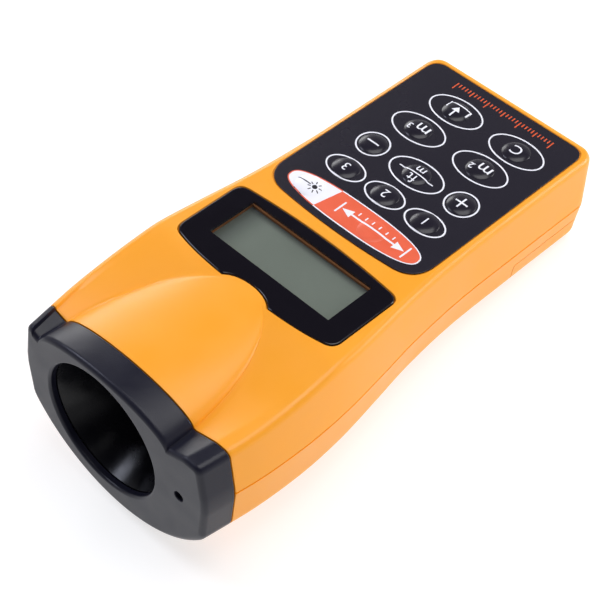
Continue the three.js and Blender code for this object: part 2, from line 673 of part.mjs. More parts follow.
function batterySnap() {
  const x = BATTERY_X - BATTERY[0] / 2;
  const z = BATTERY_TOP - BATTERY[2] / 2;
  let body = block(x - 2.5, BATTERY_Y - 12, z - 6, x - GAP, BATTERY_Y + 12, z + 6);
  for (const side of [-1, 1]) {
    const socket = new THREE.CylinderGeometry(3.1, 3.1, 2.6, 12).rotateZ(Math.PI / 2);
    body = body.subtract(solid(socket.translate(x - 1.2, BATTERY_Y + side * 6.3, z)));
  }
  return surface(body);
}

// A lead from the battery snap, through the slot in the bulkhead, up to the board.
function batteryLead(route) {
  const ring = new THREE.Shape();
  ring.absarc(0, 0, LEAD_R, 0, 2 * Math.PI, false);
  const path = new THREE.CatmullRomCurve3(route.map((point) => new THREE.Vector3(...point)));
  return new THREE.ExtrudeGeometry(ring, { extrudePath: path, steps: 12, curveSegments: 4 });
}

// ---------------------------------------------------------------- fasteners

function housingScrew(x, y, seat) {
  const [head, thread] = [2.6, 1.15];
  const profile = [
    [0, seat - 2.1], [head * 0.75, seat - 2.1], [head, seat - 1.5], [head, seat - GAP],
    [thread, seat - GAP], [thread, PART_Z + 6.5], [0, PART_Z + 7.2],
  ];
  return turned(profile, x, y, 14);
}

// ---------------------------------------------------------------- assembly

const design = new THREE.Group();

function add(name, geometry, material) {
  const mesh = new THREE.Mesh(geometry, material);
  mesh.name = name;
  design.add(mesh);
}

add('top_housing', topHousing(), ORANGE);
add('bottom_housing', bottomHousing(), ORANGE);
add('battery_door', batteryDoor(), ORANGE);
add('nose_cap', noseCap(), CHARCOAL);
add('acoustic_horn', acousticHorn(), GLOSS_BLACK);
add('display_window', displayWindow(), GLOSS_BLACK);
add('keypad_overlay', keypadOverlay(), OVERLAY_FILM);
const KEY_FILM = { measure: ACTION_RED, laser: ACTION_WHITE };
for (const [name, x, y] of KEYS) {
  add(`key_${name}`, keyDome(x, y), KEY_FILM[name] ?? OVERLAY_FILM);
  add(`plunger_${name}`, keyPlunger(x, y), RUBBER_GREY);
  add(`switch_${name}`, tactSwitch(x, y), STEEL);
}
add('main_board', mainBoard(), BOARD_GREEN);
add('lcd_frame', lcdFrame(), CHARCOAL);
add('lcd_panel', lcdPanel(), LCD_GLASS);
add('zebra_strip', zebraStrip(), RUBBER_GREY);
add('piezo_buzzer', piezoBuzzer(), BRASS);
add('ultrasonic_transducer', ultrasonicTransducer(), STEEL);
add('transducer_gasket', transducerGasket(), RUBBER_GREY);
add('laser_module', laserModule(), BRASS);
add('laser_lens', laserLens(), LCD_GLASS);
add('battery', battery(), BATTERY_SLEEVE);
add('battery_snap', batterySnap(), WIRE_BLACK);
add('battery_lead_red', batteryLead(LEAD_ROUTES.red), WIRE_RED);
add('battery_lead_black', batteryLead(LEAD_ROUTES.black), WIRE_BLACK);
SCREWS.forEach(([x, y, seat], i) => add(`housing_screw_${i + 1}`, housingScrew(x, y, seat), STEEL));

// Tilt the meter onto its belly and tail, and put the origin under the middle of its box.
design.rotation.x = -REST_TILT;
const meter = new THREE.Group();
meter.add(design);
meter.updateMatrixWorld(true);
const box = new THREE.Box3().setFromObject(meter, true);
design.position.set(-(box.min.x + box.max.x) / 2, -(box.min.y + box.max.y) / 2, -box.min.z);

export default meter;
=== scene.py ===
"""Looks of the hand-held ultrasonic distance meter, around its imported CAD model.

Shapes are made in the meter's own design frame, in millimetres: X across, Y along with the nose
towards -Y, Z out of the keypad, whose face is z = 0 and whose tail edge is y = 0. TO_ROW turns
that into the row frame, in metres, with the meter resting on its belly and its tail.
"""

from math import ceil, cos, dist, hypot, pi, radians, sin, sqrt

import bpy
import numpy as np
from mathutils import Matrix, Vector
from mathutils.geometry import delaunay_2d_cdt


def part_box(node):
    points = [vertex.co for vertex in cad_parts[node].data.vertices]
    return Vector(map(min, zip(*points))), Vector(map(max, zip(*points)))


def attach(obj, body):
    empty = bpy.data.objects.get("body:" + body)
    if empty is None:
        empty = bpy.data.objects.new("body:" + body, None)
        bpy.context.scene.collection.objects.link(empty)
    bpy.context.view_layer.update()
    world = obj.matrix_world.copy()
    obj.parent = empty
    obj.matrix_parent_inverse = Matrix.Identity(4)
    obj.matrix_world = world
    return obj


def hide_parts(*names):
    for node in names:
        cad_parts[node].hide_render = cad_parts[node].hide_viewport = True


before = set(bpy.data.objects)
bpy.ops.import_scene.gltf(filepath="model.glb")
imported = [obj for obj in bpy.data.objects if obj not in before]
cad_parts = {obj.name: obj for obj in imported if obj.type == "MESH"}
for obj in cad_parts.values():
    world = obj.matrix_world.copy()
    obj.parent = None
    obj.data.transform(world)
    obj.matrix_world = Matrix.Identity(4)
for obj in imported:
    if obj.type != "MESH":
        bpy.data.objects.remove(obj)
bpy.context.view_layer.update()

# ------ driving dimensions, millimetres

GAP = 0.3  # clearance between neighbouring parts
WALL = 2.2
TAIL_Y = 3.0
NOSE_Y = -159.9
CAP_REAR_Y = -150.4
CAP_EDGE = 1.6
TAIL_CORNER = 5.5
HALF_WIDTHS = [  # station, half width
    (-160, 35.9), (-150, 37.4), (-141, 38.5), (-124, 39.1), (-109, 38.3), (-94, 36.4),
    (-79, 34.3), (-58, 32.6), (-32, 32.3), (3, 32.3),
]
PART_Z = -18.5  # parting line between the two housings
TOP_DRAFT = 0.5
HEAD_DRAFT = 1.4
LOW_DRAFT = 1.2
TOP_EDGE = 2.4
TAIL_TOP_EDGE = 2.4
TAIL_LOW_EDGE = 4.0
TOP_CROWN = 0.1
CORNER_Z = -33.0
HEAD_SAG = 18.2
TAIL_SAG = 0.9
BELLY_FRONT_Y = -134
BELLY_REAR_Y = -62
DOME_REAR_Y = -110  # where the dome rises out of the flat top
DOME_LENGTH = 50
DOME_HALF = 25.2
DOME_SHIFT = -3.7  # the dome leans to this X at the nose, over the horn
DOME_RISE = 0.9
SHOULDER_DROP = 6.6
SHOULDER_RISE = 2.6
CREASE_FILLET = 1.2
RIM_BREAK = 0.2  # chamfer along the seams
FRONT_BREAK = ((0, 0.2), (0.06, 0.06), (0.2, 0))  # its steps: (distance, inset)
HORN_X = -4.8
HORN_Z = -23.4
MOUTH_R = 21.1
MOUTH_EDGE = 0.9
THROAT_R = 7.6
THROAT_Y = -119
HORN_WALL = 1.2
CAN_R = 8.1
LASER_X = 26.0
LASER_Z = -22.0
LASER_HOLE_R = 1.6
PAD_HALF = 29.45
PAD_FRONT_Y = -77.4
PAD_POCKET = 0.6
PAD_TOP = 0.02  # the overlay's face
POCKET_GROW = 0.2  # a pocket is this much larger than its outline,
PLATE_SHRINK = 0.1  # and the plate in it this much smaller
KEY_R = 4.4
KEY_SIDES = 64
KEY_RISE = 0.75
LOW_KEY_RISE = 0.3  # the measure key's
WINDOW_HALF = 30.8
WINDOW_REAR_Y = -81.6
WINDOW_FRONT_Y = -111.6
WINDOW_POCKET = 1.75
LCD_HALF = 23.0
LCD_REAR_Y = -85.7
LCD_FRONT_Y = -102.8
LCD_BORDER = 1.2
LCD_TOP = -1.75
LCD_SILL = 0.5  # how far the display's rim shows at its tail edge
DOOR_FRONT_Y = -30.5
DOOR_TOP_Z = -24.6
TRAY_ROOF = -10.3
BULKHEAD_Y = -33
TONGUES_X = [-15, 15]
TONGUE_HALF = 4
TONGUE_LENGTH = 7
TONGUE_Z = (-31.2, -29.9)
BOSS_R = 4.4
RECESS_R = 3.1
SHANK_R = 1.6
SCREWS = [(-31, -122, -27.5), (31, -122, -27.5), (-25.5, -66, -28.5), (25.5, -66, -28.5)]
BATTERY = (48.5, 26.5, 17.5)
BATTERY_TOP = -11.9
BAND_LENGTH = 14.0  # the battery's coloured end
BATTERY_X = 0.6
BATTERY_Y = -15.2
REST_TILT = radians(7.62)  # how far the keypad leans back as the meter lies on a table
FAR = 90.0  # past everything, for cutters

KEYS = {
    "memory_1": (16.2, -56.6), "memory_2": (0.8, -56.6), "memory_3": (-14.7, -56.5),
    "plus": (18.4, -43.4), "units": (1.3, -43.6), "minus": (-16.4, -43.1),
    "area": (12.4, -28.2), "volume": (-11.6, -28.3),
    "clear": (14.9, -14.7), "store": (-9.1, -14.2),
    "measure": (8.2, -70.0), "laser": (-17.0, -69.6),
}
LENS = (0.4, -69.4, 24.5, 5.2)  # the front keys' oval: middle, half width, half depth
LENS_POWER = 2.5
LENS_RIM = 0.42
DIVIDER = np.array([(-8.3, -63.0), (-10.7, -76.0)])  # the slanted line between the front keys
SMALL_OVAL = (6.75, 4.3)
LARGE_OVAL = (9.36, 5.67)
ROUND = (5.1, 5.1)
OVALS = {
    "memory_1": SMALL_OVAL, "memory_2": SMALL_OVAL, "memory_3": SMALL_OVAL,
    "plus": ROUND, "units": LARGE_OVAL, "minus": ROUND,
    "area": LARGE_OVAL, "volume": LARGE_OVAL, "clear": LARGE_OVAL, "store": LARGE_OVAL,
}

# ------ the design frame's place


def design_to_row():
    """The design frame's place in the row frame, found from the keypad overlay's box."""
    turn = Matrix.Rotation(-REST_TILT, 4, "X")
    back = turn.inverted()
    points = np.array([back @ v.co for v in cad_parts["keypad_overlay"].data.vertices])
    low, high = points.min(axis=0), points.max(axis=0)
    across = (low[0] + high[0]) / 2
    tail_edge = high[1] + 0.0001
    face = high[2] - PAD_TOP / 1000
    return turn @ Matrix.Translation((across, tail_edge, face)) @ Matrix.Scale(0.001, 4)


TO_ROW = design_to_row()

# ------ meshes


def mesh_of(points, faces):
    """A mesh from design-frame points."""
    mesh = bpy.data.meshes.new("shape")
    mesh.from_pydata([tuple(p) for p in points], [], faces)
    mesh.validate()
    return mesh


def volume(points, faces):
    """Signed volume of a closed mesh."""
    total = 0.0
    for face in faces:
        a = points[face[0]]
        for b, c in zip(face[1:-1], face[2:]):
            total += np.dot(a, np.cross(points[b], points[c]))
    return total / 6


def skin(rings, ends=True):
    """A closed skin through rings of equal point count; without ends the last joins the first."""
    rings = np.asarray(rings, float)
    rows, count, _ = rings.shape
    points = rings.reshape(-1, 3)
    faces = []
    for row in range(rows if not ends else rows - 1):
        after = (row + 1) % rows
        for i in range(count):
            j = (i + 1) % count
            faces.append([row * count + i, row * count + j, after * count + j, after * count + i])
    if ends:
        faces.append(list(range(count))[::-1])
        faces.append([(rows - 1) * count + i for i in range(count)])
    if volume(points, faces) < 0:
        faces = [face[::-1] for face in faces]
    return mesh_of(points, faces)


def block(x0, y0, z0, x1, y1, z1):
    """A box, for cutting and for square ribs."""
    ring = np.array([(x0, y0), (x1, y0), (x1, y1), (x0, y1)])
    return skin([np.c_[ring, np.full(4, z)] for z in (z0, z1)])


def turned(profile, centre, axis="Z", sides=64, closed=False):
    """A turned solid: profile is (radius, station) from axis to axis, or a closed loop."""
    angles = np.linspace(0, 2 * pi, sides, endpoint=False)
    rings = []
    for radius, station in profile:
        columns = [centre[0] + radius * np.cos(angles), centre[1] + radius * np.sin(angles)]
        columns.insert("XYZ".index(axis), np.full(sides, station))
        rings.append(np.stack(columns, axis=1))
    return skin(rings, ends=not closed)


def add_object(name, data):
    """A new object in the scene."""
    added = bpy.data.objects.new(name, data)
    bpy.context.scene.collection.objects.link(added)
    return added


def boolean(mesh, other, operation="DIFFERENCE"):
    """A new mesh: mesh with other cut away, joined on, or kept in common."""
    work = [add_object("work", m) for m in (mesh, other)]
    cut = work[0].modifiers.new("cut", "BOOLEAN")
    cut.operation = operation
    cut.object = work[1]
    cut.solver = "MANIFOLD"
    graph = bpy.context.evaluated_depsgraph_get()
    result = bpy.data.meshes.new_from_object(work[0].evaluated_get(graph))
    for obj in work:
        bpy.data.objects.remove(obj)
    return result


def cut(mesh, *others):
    """A mesh with the others taken away."""
    for other in others:
        mesh = boolean(mesh, other)
    return mesh


def join(mesh, *others):
    """A mesh with the others joined on."""
    for other in others:
        mesh = boolean(mesh, other, "UNION")
    return mesh


def common(mesh, other):
    """What two meshes share."""
    return boolean(mesh, other, "INTERSECT")


def show(name, mesh, materials, body="root", nodes=(), sharp=30):
    """Puts a design-frame mesh in the scene as a piece of the meter."""
    mesh.transform(TO_ROW)
    mesh.materials.clear()
    for material in materials:
        mesh.materials.append(material)
    mesh.shade_smooth()
    mesh.set_sharp_from_angle(angle=radians(sharp))
    mesh.name = name
    piece = add_object(name, mesh)
    flatten = piece.modifiers.new("normals", "WEIGHTED_NORMAL")
    flatten.keep_sharp = True
    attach(piece, body)
    if nodes:
        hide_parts(*nodes)
    return piece


# ------ outer shape


def half_width_table():
    """The half widths on a centripetal Catmull-Rom curve, as (stations, half widths)."""
    knots = [np.array((w, y), float) for y, w in HALF_WIDTHS]
    knots = [2 * knots[0] - knots[1], *knots, 2 * knots[-1] - knots[-2]]
    found = []
    for p0, p1, p2, p3 in zip(knots, knots[1:], knots[2:], knots[3:]):
        d0, d1, d2 = (sqrt(np.linalg.norm(b - a)) for a, b in ((p0, p1), (p1, p2), (p2, p3)))
        t1 = ((p1 - p0) / d0 - (p2 - p0) / (d0 + d1) + (p2 - p1) / d1) * d1
        t2 = ((p2 - p1) / d1 - (p3 - p1) / (d1 + d2) + (p3 - p2) / d2) * d1
        for t in np.linspace(0, 1, 24, endpoint=False):
            cubic = (2 * p1 - 2 * p2 + t1 + t2) * t**3 + (3 * p2 - 3 * p1 - 2 * t1 - t2) * t**2
            found.append(cubic + t1 * t + p1)
    found.append(knots[-2])
    found = np.array(found)
    return found[:, 1], found[:, 0]


WIDTH_STATIONS, WIDTHS = half_width_table()


def half_width(y):
    """Half the body's width at a station."""
    return float(np.interp(y, WIDTH_STATIONS, WIDTHS))


def clamp(t, low=0.0, high=1.0):
    """t kept between two limits."""
    return min(max(t, low), high)


def dome_at(y):
    """The dome at a station: how far along it is, its middle and its half width."""
    reach = clamp((DOME_REAR_Y - y) / DOME_LENGTH)
    return reach, DOME_SHIFT * reach, max(6.0, DOME_HALF * sqrt(1 - (1 - reach) ** 2))


def smooth_max(a, b, fillet):
    """The larger of two heights, with a fillet where they cross."""
    near = np.maximum(fillet - np.abs(a - b), 0) / fillet
    return np.maximum(a, b) + near * near * fillet / 4


def top_height(x, y, edge):
    """Height of the top face: the crowned flat, the shoulders and the dome over the horn."""
    reach, centre, half = dome_at(y)
    soft = 0.05
    eased = (hypot(reach, soft) - soft) / (hypot(1, soft) - soft)
    drop = 1 - (1 - eased) ** 1.6
    crown = -TOP_CROWN * (x / HALF_WIDTHS[0][1]) ** 2
    outward = np.abs(x - centre) - half
    climb = np.clip(outward / (edge - half), 0, 1)
    shoulder = drop * (SHOULDER_RISE * climb - SHOULDER_DROP)
    u = np.clip((outward + half) / half, 0, 1)
    foot = -SHOULDER_DROP * drop
    dome = foot + (DOME_RISE * reach - foot) * np.sqrt(1 - u * u) - np.maximum(outward, 0) * 2
    softness = np.where(x < centre, 6.0 - 4.4 * reach, 1.6 - 0.9 * reach)
    fillet = CREASE_FILLET * drop * softness + 1e-6
    return crown + smooth_max(dome, shoulder, fillet)


def corner_cut(y, inset, radius):
    """How far a corner of the tail, rounded by radius, has fallen away at y."""
    past = clamp(y - (TAIL_Y - inset - radius), 0, radius)
    return radius - sqrt(radius * radius - past * past)


def upper_line(y, inset=0.0):
    """The section above the parting line, from right to left."""
    wide = half_width(y) - inset - corner_cut(y, inset, TAIL_CORNER - inset / 2)
    top = wide - TOP_DRAFT - HEAD_DRAFT * clamp((-60 - y) / 60)
    edge = max(TOP_EDGE - inset, 0.8)
    flat = top - edge
    lowered = inset + corner_cut(y, inset, max(TAIL_TOP_EDGE - inset, 1.0))
    _, centre, half = dome_at(y)
    corner_z = float(top_height(np.array([flat]), y, flat)[0]) - lowered
    rise = np.linspace(0, 1, 7)[1:]
    wall = [(wide + (top - wide) * t, PART_Z + (corner_z - edge - PART_Z) * t) for t in rise]
    turn = np.linspace(0, pi / 2, 10)[1:]
    rounding = [(flat + edge * cos(a), corner_z - edge + edge * sin(a)) for a in turn]
    right = [(wide - RIM_BREAK, PART_Z), (wide, PART_Z + RIM_BREAK), *wall, *rounding]
    over = np.concatenate([
        np.linspace(flat, centre + half, 15)[1:-1],
        centre + half * np.cos(np.linspace(0, pi, 61)),
        np.linspace(centre - half, -flat, 15)[1:-1],
    ])
    heights = top_height(over, y, flat) - lowered
    left = [(-x, z) for x, z in right[::-1]]
    return np.array([*right, *zip(over, heights), *left])


def lower_line(y, inset=0.0, rim=PART_Z):
    """The section below the parting line, from left to right."""
    wide = half_width(y) - inset - corner_cut(y, inset, TAIL_CORNER - inset / 2)
    low = wide - LOW_DRAFT
    ease = clamp((y - BELLY_FRONT_Y) / (BELLY_REAR_Y - BELLY_FRONT_Y))
    ease = ease * ease * (3 - 2 * ease)
    sag = HEAD_SAG + (TAIL_SAG - HEAD_SAG) * ease
    corner_z = CORNER_Z + inset + corner_cut(y, inset, TAIL_LOW_EDGE - min(inset, 2))
    rounded = 2 + 3 * ease - inset / 2
    inner = low - rounded
    radius = (low * low + sag * sag) / (2 * sag)

    def arc(x):
        """Height of the belly's arc."""
        return corner_z - sag + radius - np.sqrt(radius * radius - x * x)

    slope = (low - wide) / (corner_z + rounded - PART_Z)
    at_rim = wide + slope * (rim - PART_Z)
    fall = np.linspace(0, 1, 7)[1:]
    wall = [(at_rim + (low - at_rim) * t, rim + (corner_z + rounded - rim) * t) for t in fall]
    turn = np.linspace(0, 1, 9)[1:-1]
    corner = [
        ((1 - s) ** 2 * low + 2 * s * (1 - s) * low + s * s * inner,
         (1 - s) ** 2 * (corner_z + rounded) + 2 * s * (1 - s) * corner_z + s * s * arc(inner))
        for s in turn
    ]
    belly = inner * np.cos(np.linspace(0, pi, 49))
    right = [(at_rim - RIM_BREAK, rim), (at_rim, rim - RIM_BREAK), *wall, *corner]
    left = [(-x, z) for x, z in right]
    return np.array([*left, *zip(belly[::-1], arc(belly[::-1])), *right[::-1]])


def whole_line(y, inset=0.0):
    """The whole section, without the breaks along the parting line."""
    return np.concatenate([upper_line(y, inset)[2:-2], lower_line(y, inset)[2:-2]])


def ring(y, line):
    """A section's points at its station."""
    return np.c_[line[:, 0], np.full(len(line), y), line[:, 1]]


def stations(end, radius):
    """Stations of the housings, from the nose cap to the rounded tail."""
    tail = end - radius + radius * np.sin(np.linspace(0, pi / 2, 12))
    return np.concatenate([
        np.arange(-149.2, -109.9, 1.4), np.arange(-108.5, end - radius - 0.8, 2.0), tail])


def outer_body(line):
    """A housing's outside, with a small break along its front edge."""
    front = CAP_REAR_Y + GAP / 2
    rings = [ring(front + d, line(front + d, inset)) for d, inset in FRONT_BREAK]
    rings += [ring(y, line(y)) for y in stations(TAIL_Y, TAIL_CORNER)]
    return skin(rings)


def inner_body(line, inset, beyond):
    """The hollow inside a housing; it runs past the parting line by beyond."""
    rings = []
    for y in [CAP_REAR_Y - 1, *stations(TAIL_Y - inset, TAIL_CORNER - inset / 2)[::2]]:
        section = line(max(y, CAP_REAR_Y), inset)
        first, last = section[0], section[-1]
        section = np.array([(first[0], first[1] + beyond), *section, (last[0], last[1] + beyond)])
        rings.append(ring(y, section))
    return skin(rings)


# ------ outlines


def outline(start, *moves):
    """A closed outline from straight (x, y) and curved (control x, control y, x, y) moves."""
    points = [start]
    for move in moves:
        here = points[-1]
        if len(move) == 2:
            points += [tuple(np.array(here) + (np.array(move) - here) * t)
                       for t in np.linspace(0, 1, 19)[1:]]
            continue
        control, target = np.array(move[:2]), np.array(move[2:])
        for t in np.linspace(0, 1, 17)[1:]:
            p = (1 - t) ** 2 * np.array(here) + 2 * t * (1 - t) * control + t * t * target
            points.append(tuple(p))
    return np.array(points)


def keypad_outline(offset):
    """The overlay's outline, grown by an offset."""
    w = PAD_HALF + offset
    rear, front = offset, PAD_FRONT_Y - offset
    small, large = 4.8, 8.5
    return outline(
        (-w + small, rear), (-w, rear, -w, rear - small), (-w, front + large + 2),
        (-w, front + 1.9, -w + large, front + 1.1), (0, front - 0.9, w - large, front + 1.1),
        (w, front + 1.9, w, front + large + 2), (w, rear - small),
        (w, rear, w - small, rear), (-w + small + 0.4, rear))


def window_outline(offset):
    """The window's outline with its notch round the dome, grown by an offset."""
    w = WINDOW_HALF + offset
    rear, front = WINDOW_REAR_Y + offset, WINDOW_FRONT_Y - offset
    notch = 8.9 - offset
    return outline(
        (-w + 3, rear - 1.6), (-w, rear - 2.0, -w, rear - 5), (-w, front + 6),
        (-w, front + 2.6, -w + 3.6, front + 2.0), (-20, front + 0.3, -notch, front),
        (-notch + 3, front + 3.0, 0, front + 3.0), (notch - 3, front + 3.0, notch, front),
        (20, front + 0.3, w - 3.6, front + 2.0), (w, front + 2.6, w, front + 6), (w, rear - 5),
        (w, rear - 2.0, w - 3, rear - 1.6), (0, rear + 1.4, -w + 3.2, rear - 1.5))


def plate(shape, *levels):
    """A flat piece through (offset, z) levels of an outline function."""
    rings = []
    for offset, z in levels:
        line = shape(offset)
        rings.append(np.c_[line, np.full(len(line), z)])
    return skin(rings)


def flared(shape, depth, lip=0.3):
    """A cutter for a pocket whose rim is rounded over by lip."""
    turn = np.linspace(0, pi / 2, 6)
    rim = [(POCKET_GROW + lip * (1 - cos(a)), -lip + lip * sin(a)) for a in turn]
    return plate(shape, (POCKET_GROW, -depth), *rim, (0.25 + lip * 4, 3 * lip + 1))


def soft_plate(shape, bottom, top, edge):
    """A flat piece whose upper rim is rounded over by edge."""
    turn = np.linspace(0, pi / 2, 5)
    rim = [(-PLATE_SHRINK - edge * (1 - cos(a)), top - edge + edge * sin(a))
           for a in turn]
    return plate(shape, (-PLATE_SHRINK, bottom), *rim)


# ------ materials


def new_material(name):
    """A material, its node tree and its principled shader."""
    material = bpy.data.materials.new(name)
    material.use_nodes = True
    return material, material.node_tree, material.node_tree.nodes["Principled BSDF"]


def set_inputs(tree, node, inputs):
    """Links each input that is given a socket, and sets the others on the node itself."""
    for name, value in inputs.items():
        if isinstance(value, bpy.types.NodeSocket):
            tree.links.new(value, node.inputs[name])
        else:
            node.inputs[name].default_value = value


def add_node(tree, kind, inputs, **settings):
    """A new shader node with its settings and its inputs."""
    node = tree.nodes.new(f"ShaderNode{kind}")
    for name, value in settings.items():
        setattr(node, name, value)
    set_inputs(tree, node, inputs)
    return node


def noise(tree, size_mm):
    """A noise texture whose features are size_mm across."""
    place = add_node(tree, "TexCoord", {}).outputs["Object"]
    texture = add_node(tree, "TexNoise", {"Vector": place, "Scale": 1000 / size_mm, "Detail": 2.0})
    return texture.outputs["Fac"]


def ranged(tree, value, low, high):
    """A noise's usual span brought to the span from low to high."""
    return add_node(tree, "MapRange", {
        "Value": value, "From Min": 0.3, "From Max": 0.7, "To Min": low, "To Max": high,
    }).outputs["Result"]


def blended(tree, factor, first, second):
    """The mix of two colours."""
    inputs = {"Factor": factor, "A": first, "B": second}
    return add_node(tree, "Mix", inputs, data_type="RGBA").outputs["Result"]


def finish(name, colour, roughness, metallic=0.0, specular=0.5, tint=0.05, patch_mm=9.0,
           grain_mm=0.3, bump_mm=0.006, swing=0.05, coat=0.0, coat_roughness=0.1, glow=0.0):
    """A surface with slow colour drift, fine grain and uneven roughness."""
    material, tree, shader = new_material(name)
    patches, grain = noise(tree, patch_mm), noise(tree, grain_mm)
    darker = (*(c * (1 - tint) for c in colour), 1)
    lighter = (*(min(1.0, c * (1 + tint)) for c in colour), 1)
    bump = add_node(tree, "Bump", {"Distance": bump_mm / 1000, "Height": grain})
    set_inputs(tree, shader, {
        "Base Color": blended(tree, patches, darker, lighter),
        "Roughness": ranged(tree, patches, roughness - swing, roughness + swing),
        "Normal": bump.outputs["Normal"],
        "Metallic": metallic,
        "Specular IOR Level": specular,
        "Coat Weight": coat,
        "Coat Roughness": coat_roughness,
    })
    if glow:
        set_inputs(tree, shader, {
            "Subsurface Weight": glow,
            "Subsurface Radius": (0.002, 0.0008, 0.0002),
            "Subsurface Scale": 1.0,
        })
    return material


def painted_shade_towards(material, axis, dark_end, clear_end, depth):
    """Paints shade towards one end of an axis: a painted shadow, as under an overhanging border."""
    tree = material.node_tree
    shader = tree.nodes["Principled BSDF"]
    colour = shader.inputs["Base Color"].links[0].from_socket
    place = add_node(tree, "TexCoord", {}).outputs["Object"]
    split = add_node(tree, "SeparateXYZ", {"Vector": place})
    fade = add_node(tree, "MapRange", {
        "Value": split.outputs[axis], "From Min": dark_end, "From Max": clear_end,
        "To Min": 1 - depth,
    }, interpolation_type="SMOOTHSTEP")
    shaded = blended(tree, fade.outputs["Result"], (0.02, 0.016, 0.022, 1), colour)
    set_inputs(tree, shader, {"Base Color": shaded})


def clear_pane(name):
    """Clear moulded plastic: a mirror-like film over whatever lies behind it."""
    material, tree, shader = new_material(name)
    tree.nodes.remove(shader)
    through = add_node(tree, "BsdfTransparent", {"Color": (0.9, 0.92, 0.93, 1)})
    gloss = add_node(tree, "BsdfGlossy", {"Roughness": 0.06})
    facing = add_node(tree, "LayerWeight", {}).outputs["Facing"]
    grazing = add_node(tree, "Math", {0: facing, 1: 4.0}, operation="POWER").outputs["Value"]
    reflected = add_node(tree, "Math", {0: grazing, 1: 0.9, 2: 0.035}, operation="MULTIPLY_ADD")
    mix = add_node(tree, "MixShader", {
        0: reflected.outputs["Value"], 1: through.outputs["BSDF"], 2: gloss.outputs["BSDF"]})
    set_inputs(tree, tree.nodes["Material Output"], {"Surface": mix.outputs["Shader"]})
    return material


LEFT_SHADE = 0.011  # how far the two painted shadows on the display reach, metres
TAIL_SHADE = 0.003

ORANGE = finish("moulded_orange", (0.95, 0.365, 0.019), 0.36, specular=0.42, tint=0.03, patch_mm=14,
                grain_mm=0.22, bump_mm=0.008, glow=0.03)
CHARCOAL = finish("moulded_charcoal", (0.0095, 0.0095, 0.019), 0.34, specular=0.27, tint=0.12,
                  grain_mm=0.35, bump_mm=0.03)
HORN_BLACK = finish("horn_gloss", (0.002, 0.002, 0.0035), 0.25, specular=0.24, tint=0.1, patch_mm=5,
                    grain_mm=0.5, bump_mm=0.004)
WINDOW_BLACK = finish("window_gloss", (0.006, 0.005, 0.008), 0.08, tint=0.1, patch_mm=6,
                      swing=0.02, bump_mm=0.001)
FILM = finish("overlay_film", (0.014, 0.012, 0.02), 0.27, specular=0.45, tint=0.04, patch_mm=16,
              grain_mm=0.18, bump_mm=0.002, swing=0.006)
DOME_FILM = finish("dome_film", (0.014, 0.012, 0.02), 0.24, specular=0.34, tint=0.06,
                   patch_mm=8, bump_mm=0.002, swing=0.01)
INK_WHITE = finish("ink_white", (0.86, 0.86, 0.92), 0.35, tint=0.02, patch_mm=2, bump_mm=0.002)
INK_RED = finish("ink_red", (0.8, 0.125, 0.055), 0.33, patch_mm=4, bump_mm=0.004)
INK_ORANGE = finish("ink_orange", (0.7, 0.1, 0.03), 0.35, patch_mm=2, bump_mm=0.002)
INK_BLACK = finish("ink_black", (0.02, 0.018, 0.025), 0.35, tint=0.1, patch_mm=2, bump_mm=0.002)
SURROUND = finish("display_rim", (0.3, 0.1, 0.02), 0.5, tint=0.1)
LCD = finish("lcd_glass", (0.28, 0.295, 0.235), 0.22, tint=0.06, patch_mm=16, grain_mm=0.4,
             bump_mm=0.001, coat=0.3, coat_roughness=0.05)
FRAME_BLACK = finish("frame_plastic", (0.03, 0.03, 0.034), 0.5, tint=0.1)
SILICONE = finish("silicone_grey", (0.42, 0.43, 0.45), 0.7, bump_mm=0.01)
STEEL = finish("bright_steel", (0.56, 0.57, 0.6), 0.3, metallic=1.0, tint=0.06, patch_mm=2,
               grain_mm=0.12, bump_mm=0.003)
BRASS = finish("brass", (0.72, 0.5, 0.2), 0.28, metallic=1.0, tint=0.08, patch_mm=3,
               grain_mm=0.15, bump_mm=0.003)
# painted shade: a deeper orange for the faces in the narrow gaps round the housings and behind the
# nose cap
SEAM_SHADE = finish("seam_painted_shade", (1.0, 0.31, 0.004), 0.6, specular=0.1, tint=0.03)
ALUMINIUM = finish("can_aluminium", (0.66, 0.67, 0.69), 0.32, metallic=1.0, patch_mm=2,
                   grain_mm=0.1, bump_mm=0.004)
BOARD = finish("board_green", (0.012, 0.1, 0.035), 0.4, tint=0.3, patch_mm=1.2, grain_mm=0.5,
               bump_mm=0.02, coat=0.4)
RUBBER = finish("gasket_rubber", (0.03, 0.03, 0.032), 0.75, tint=0.15, bump_mm=0.02)
SLEEVE = finish("battery_sleeve", (0.045, 0.05, 0.062), 0.3, tint=0.1, patch_mm=7, coat=0.5)
SLEEVE_BAND = finish("battery_band", (0.62, 0.4, 0.12), 0.32, metallic=0.6, tint=0.06, coat=0.5)
WIRE_RED = finish("wire_red", (0.55, 0.02, 0.015), 0.45, tint=0.06)
WIRE_BLACK = finish("wire_black", (0.012, 0.012, 0.014), 0.45, tint=0.1)
CLEAR = clear_pane("clear_window")
# painted shadow on the display glass, as cast by the window's border, at its -X end and its tail edge
glass_low, glass_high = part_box("lcd_panel")
left_end, tail_edge = glass_low[0], glass_high[1] - LCD_BORDER / 1000
painted_shade_towards(LCD, "X", left_end, left_end + LEFT_SHADE, 0.6)
painted_shade_towards(LCD, "Y", tail_edge, tail_edge - TAIL_SHADE, 0.8)

# ------ housings and covers


def rim_lip(line, height, floor):
    """A ring inside a housing's wall that closes a seam from behind, up to a height."""
    band = block(-FAR, CAP_REAR_Y + 0.5, floor, FAR, FAR, height)
    ring_body = cut(inner_body(line, 1.7, 1), inner_body(line, WALL + 0.05, 2))
    return common(ring_body, band)


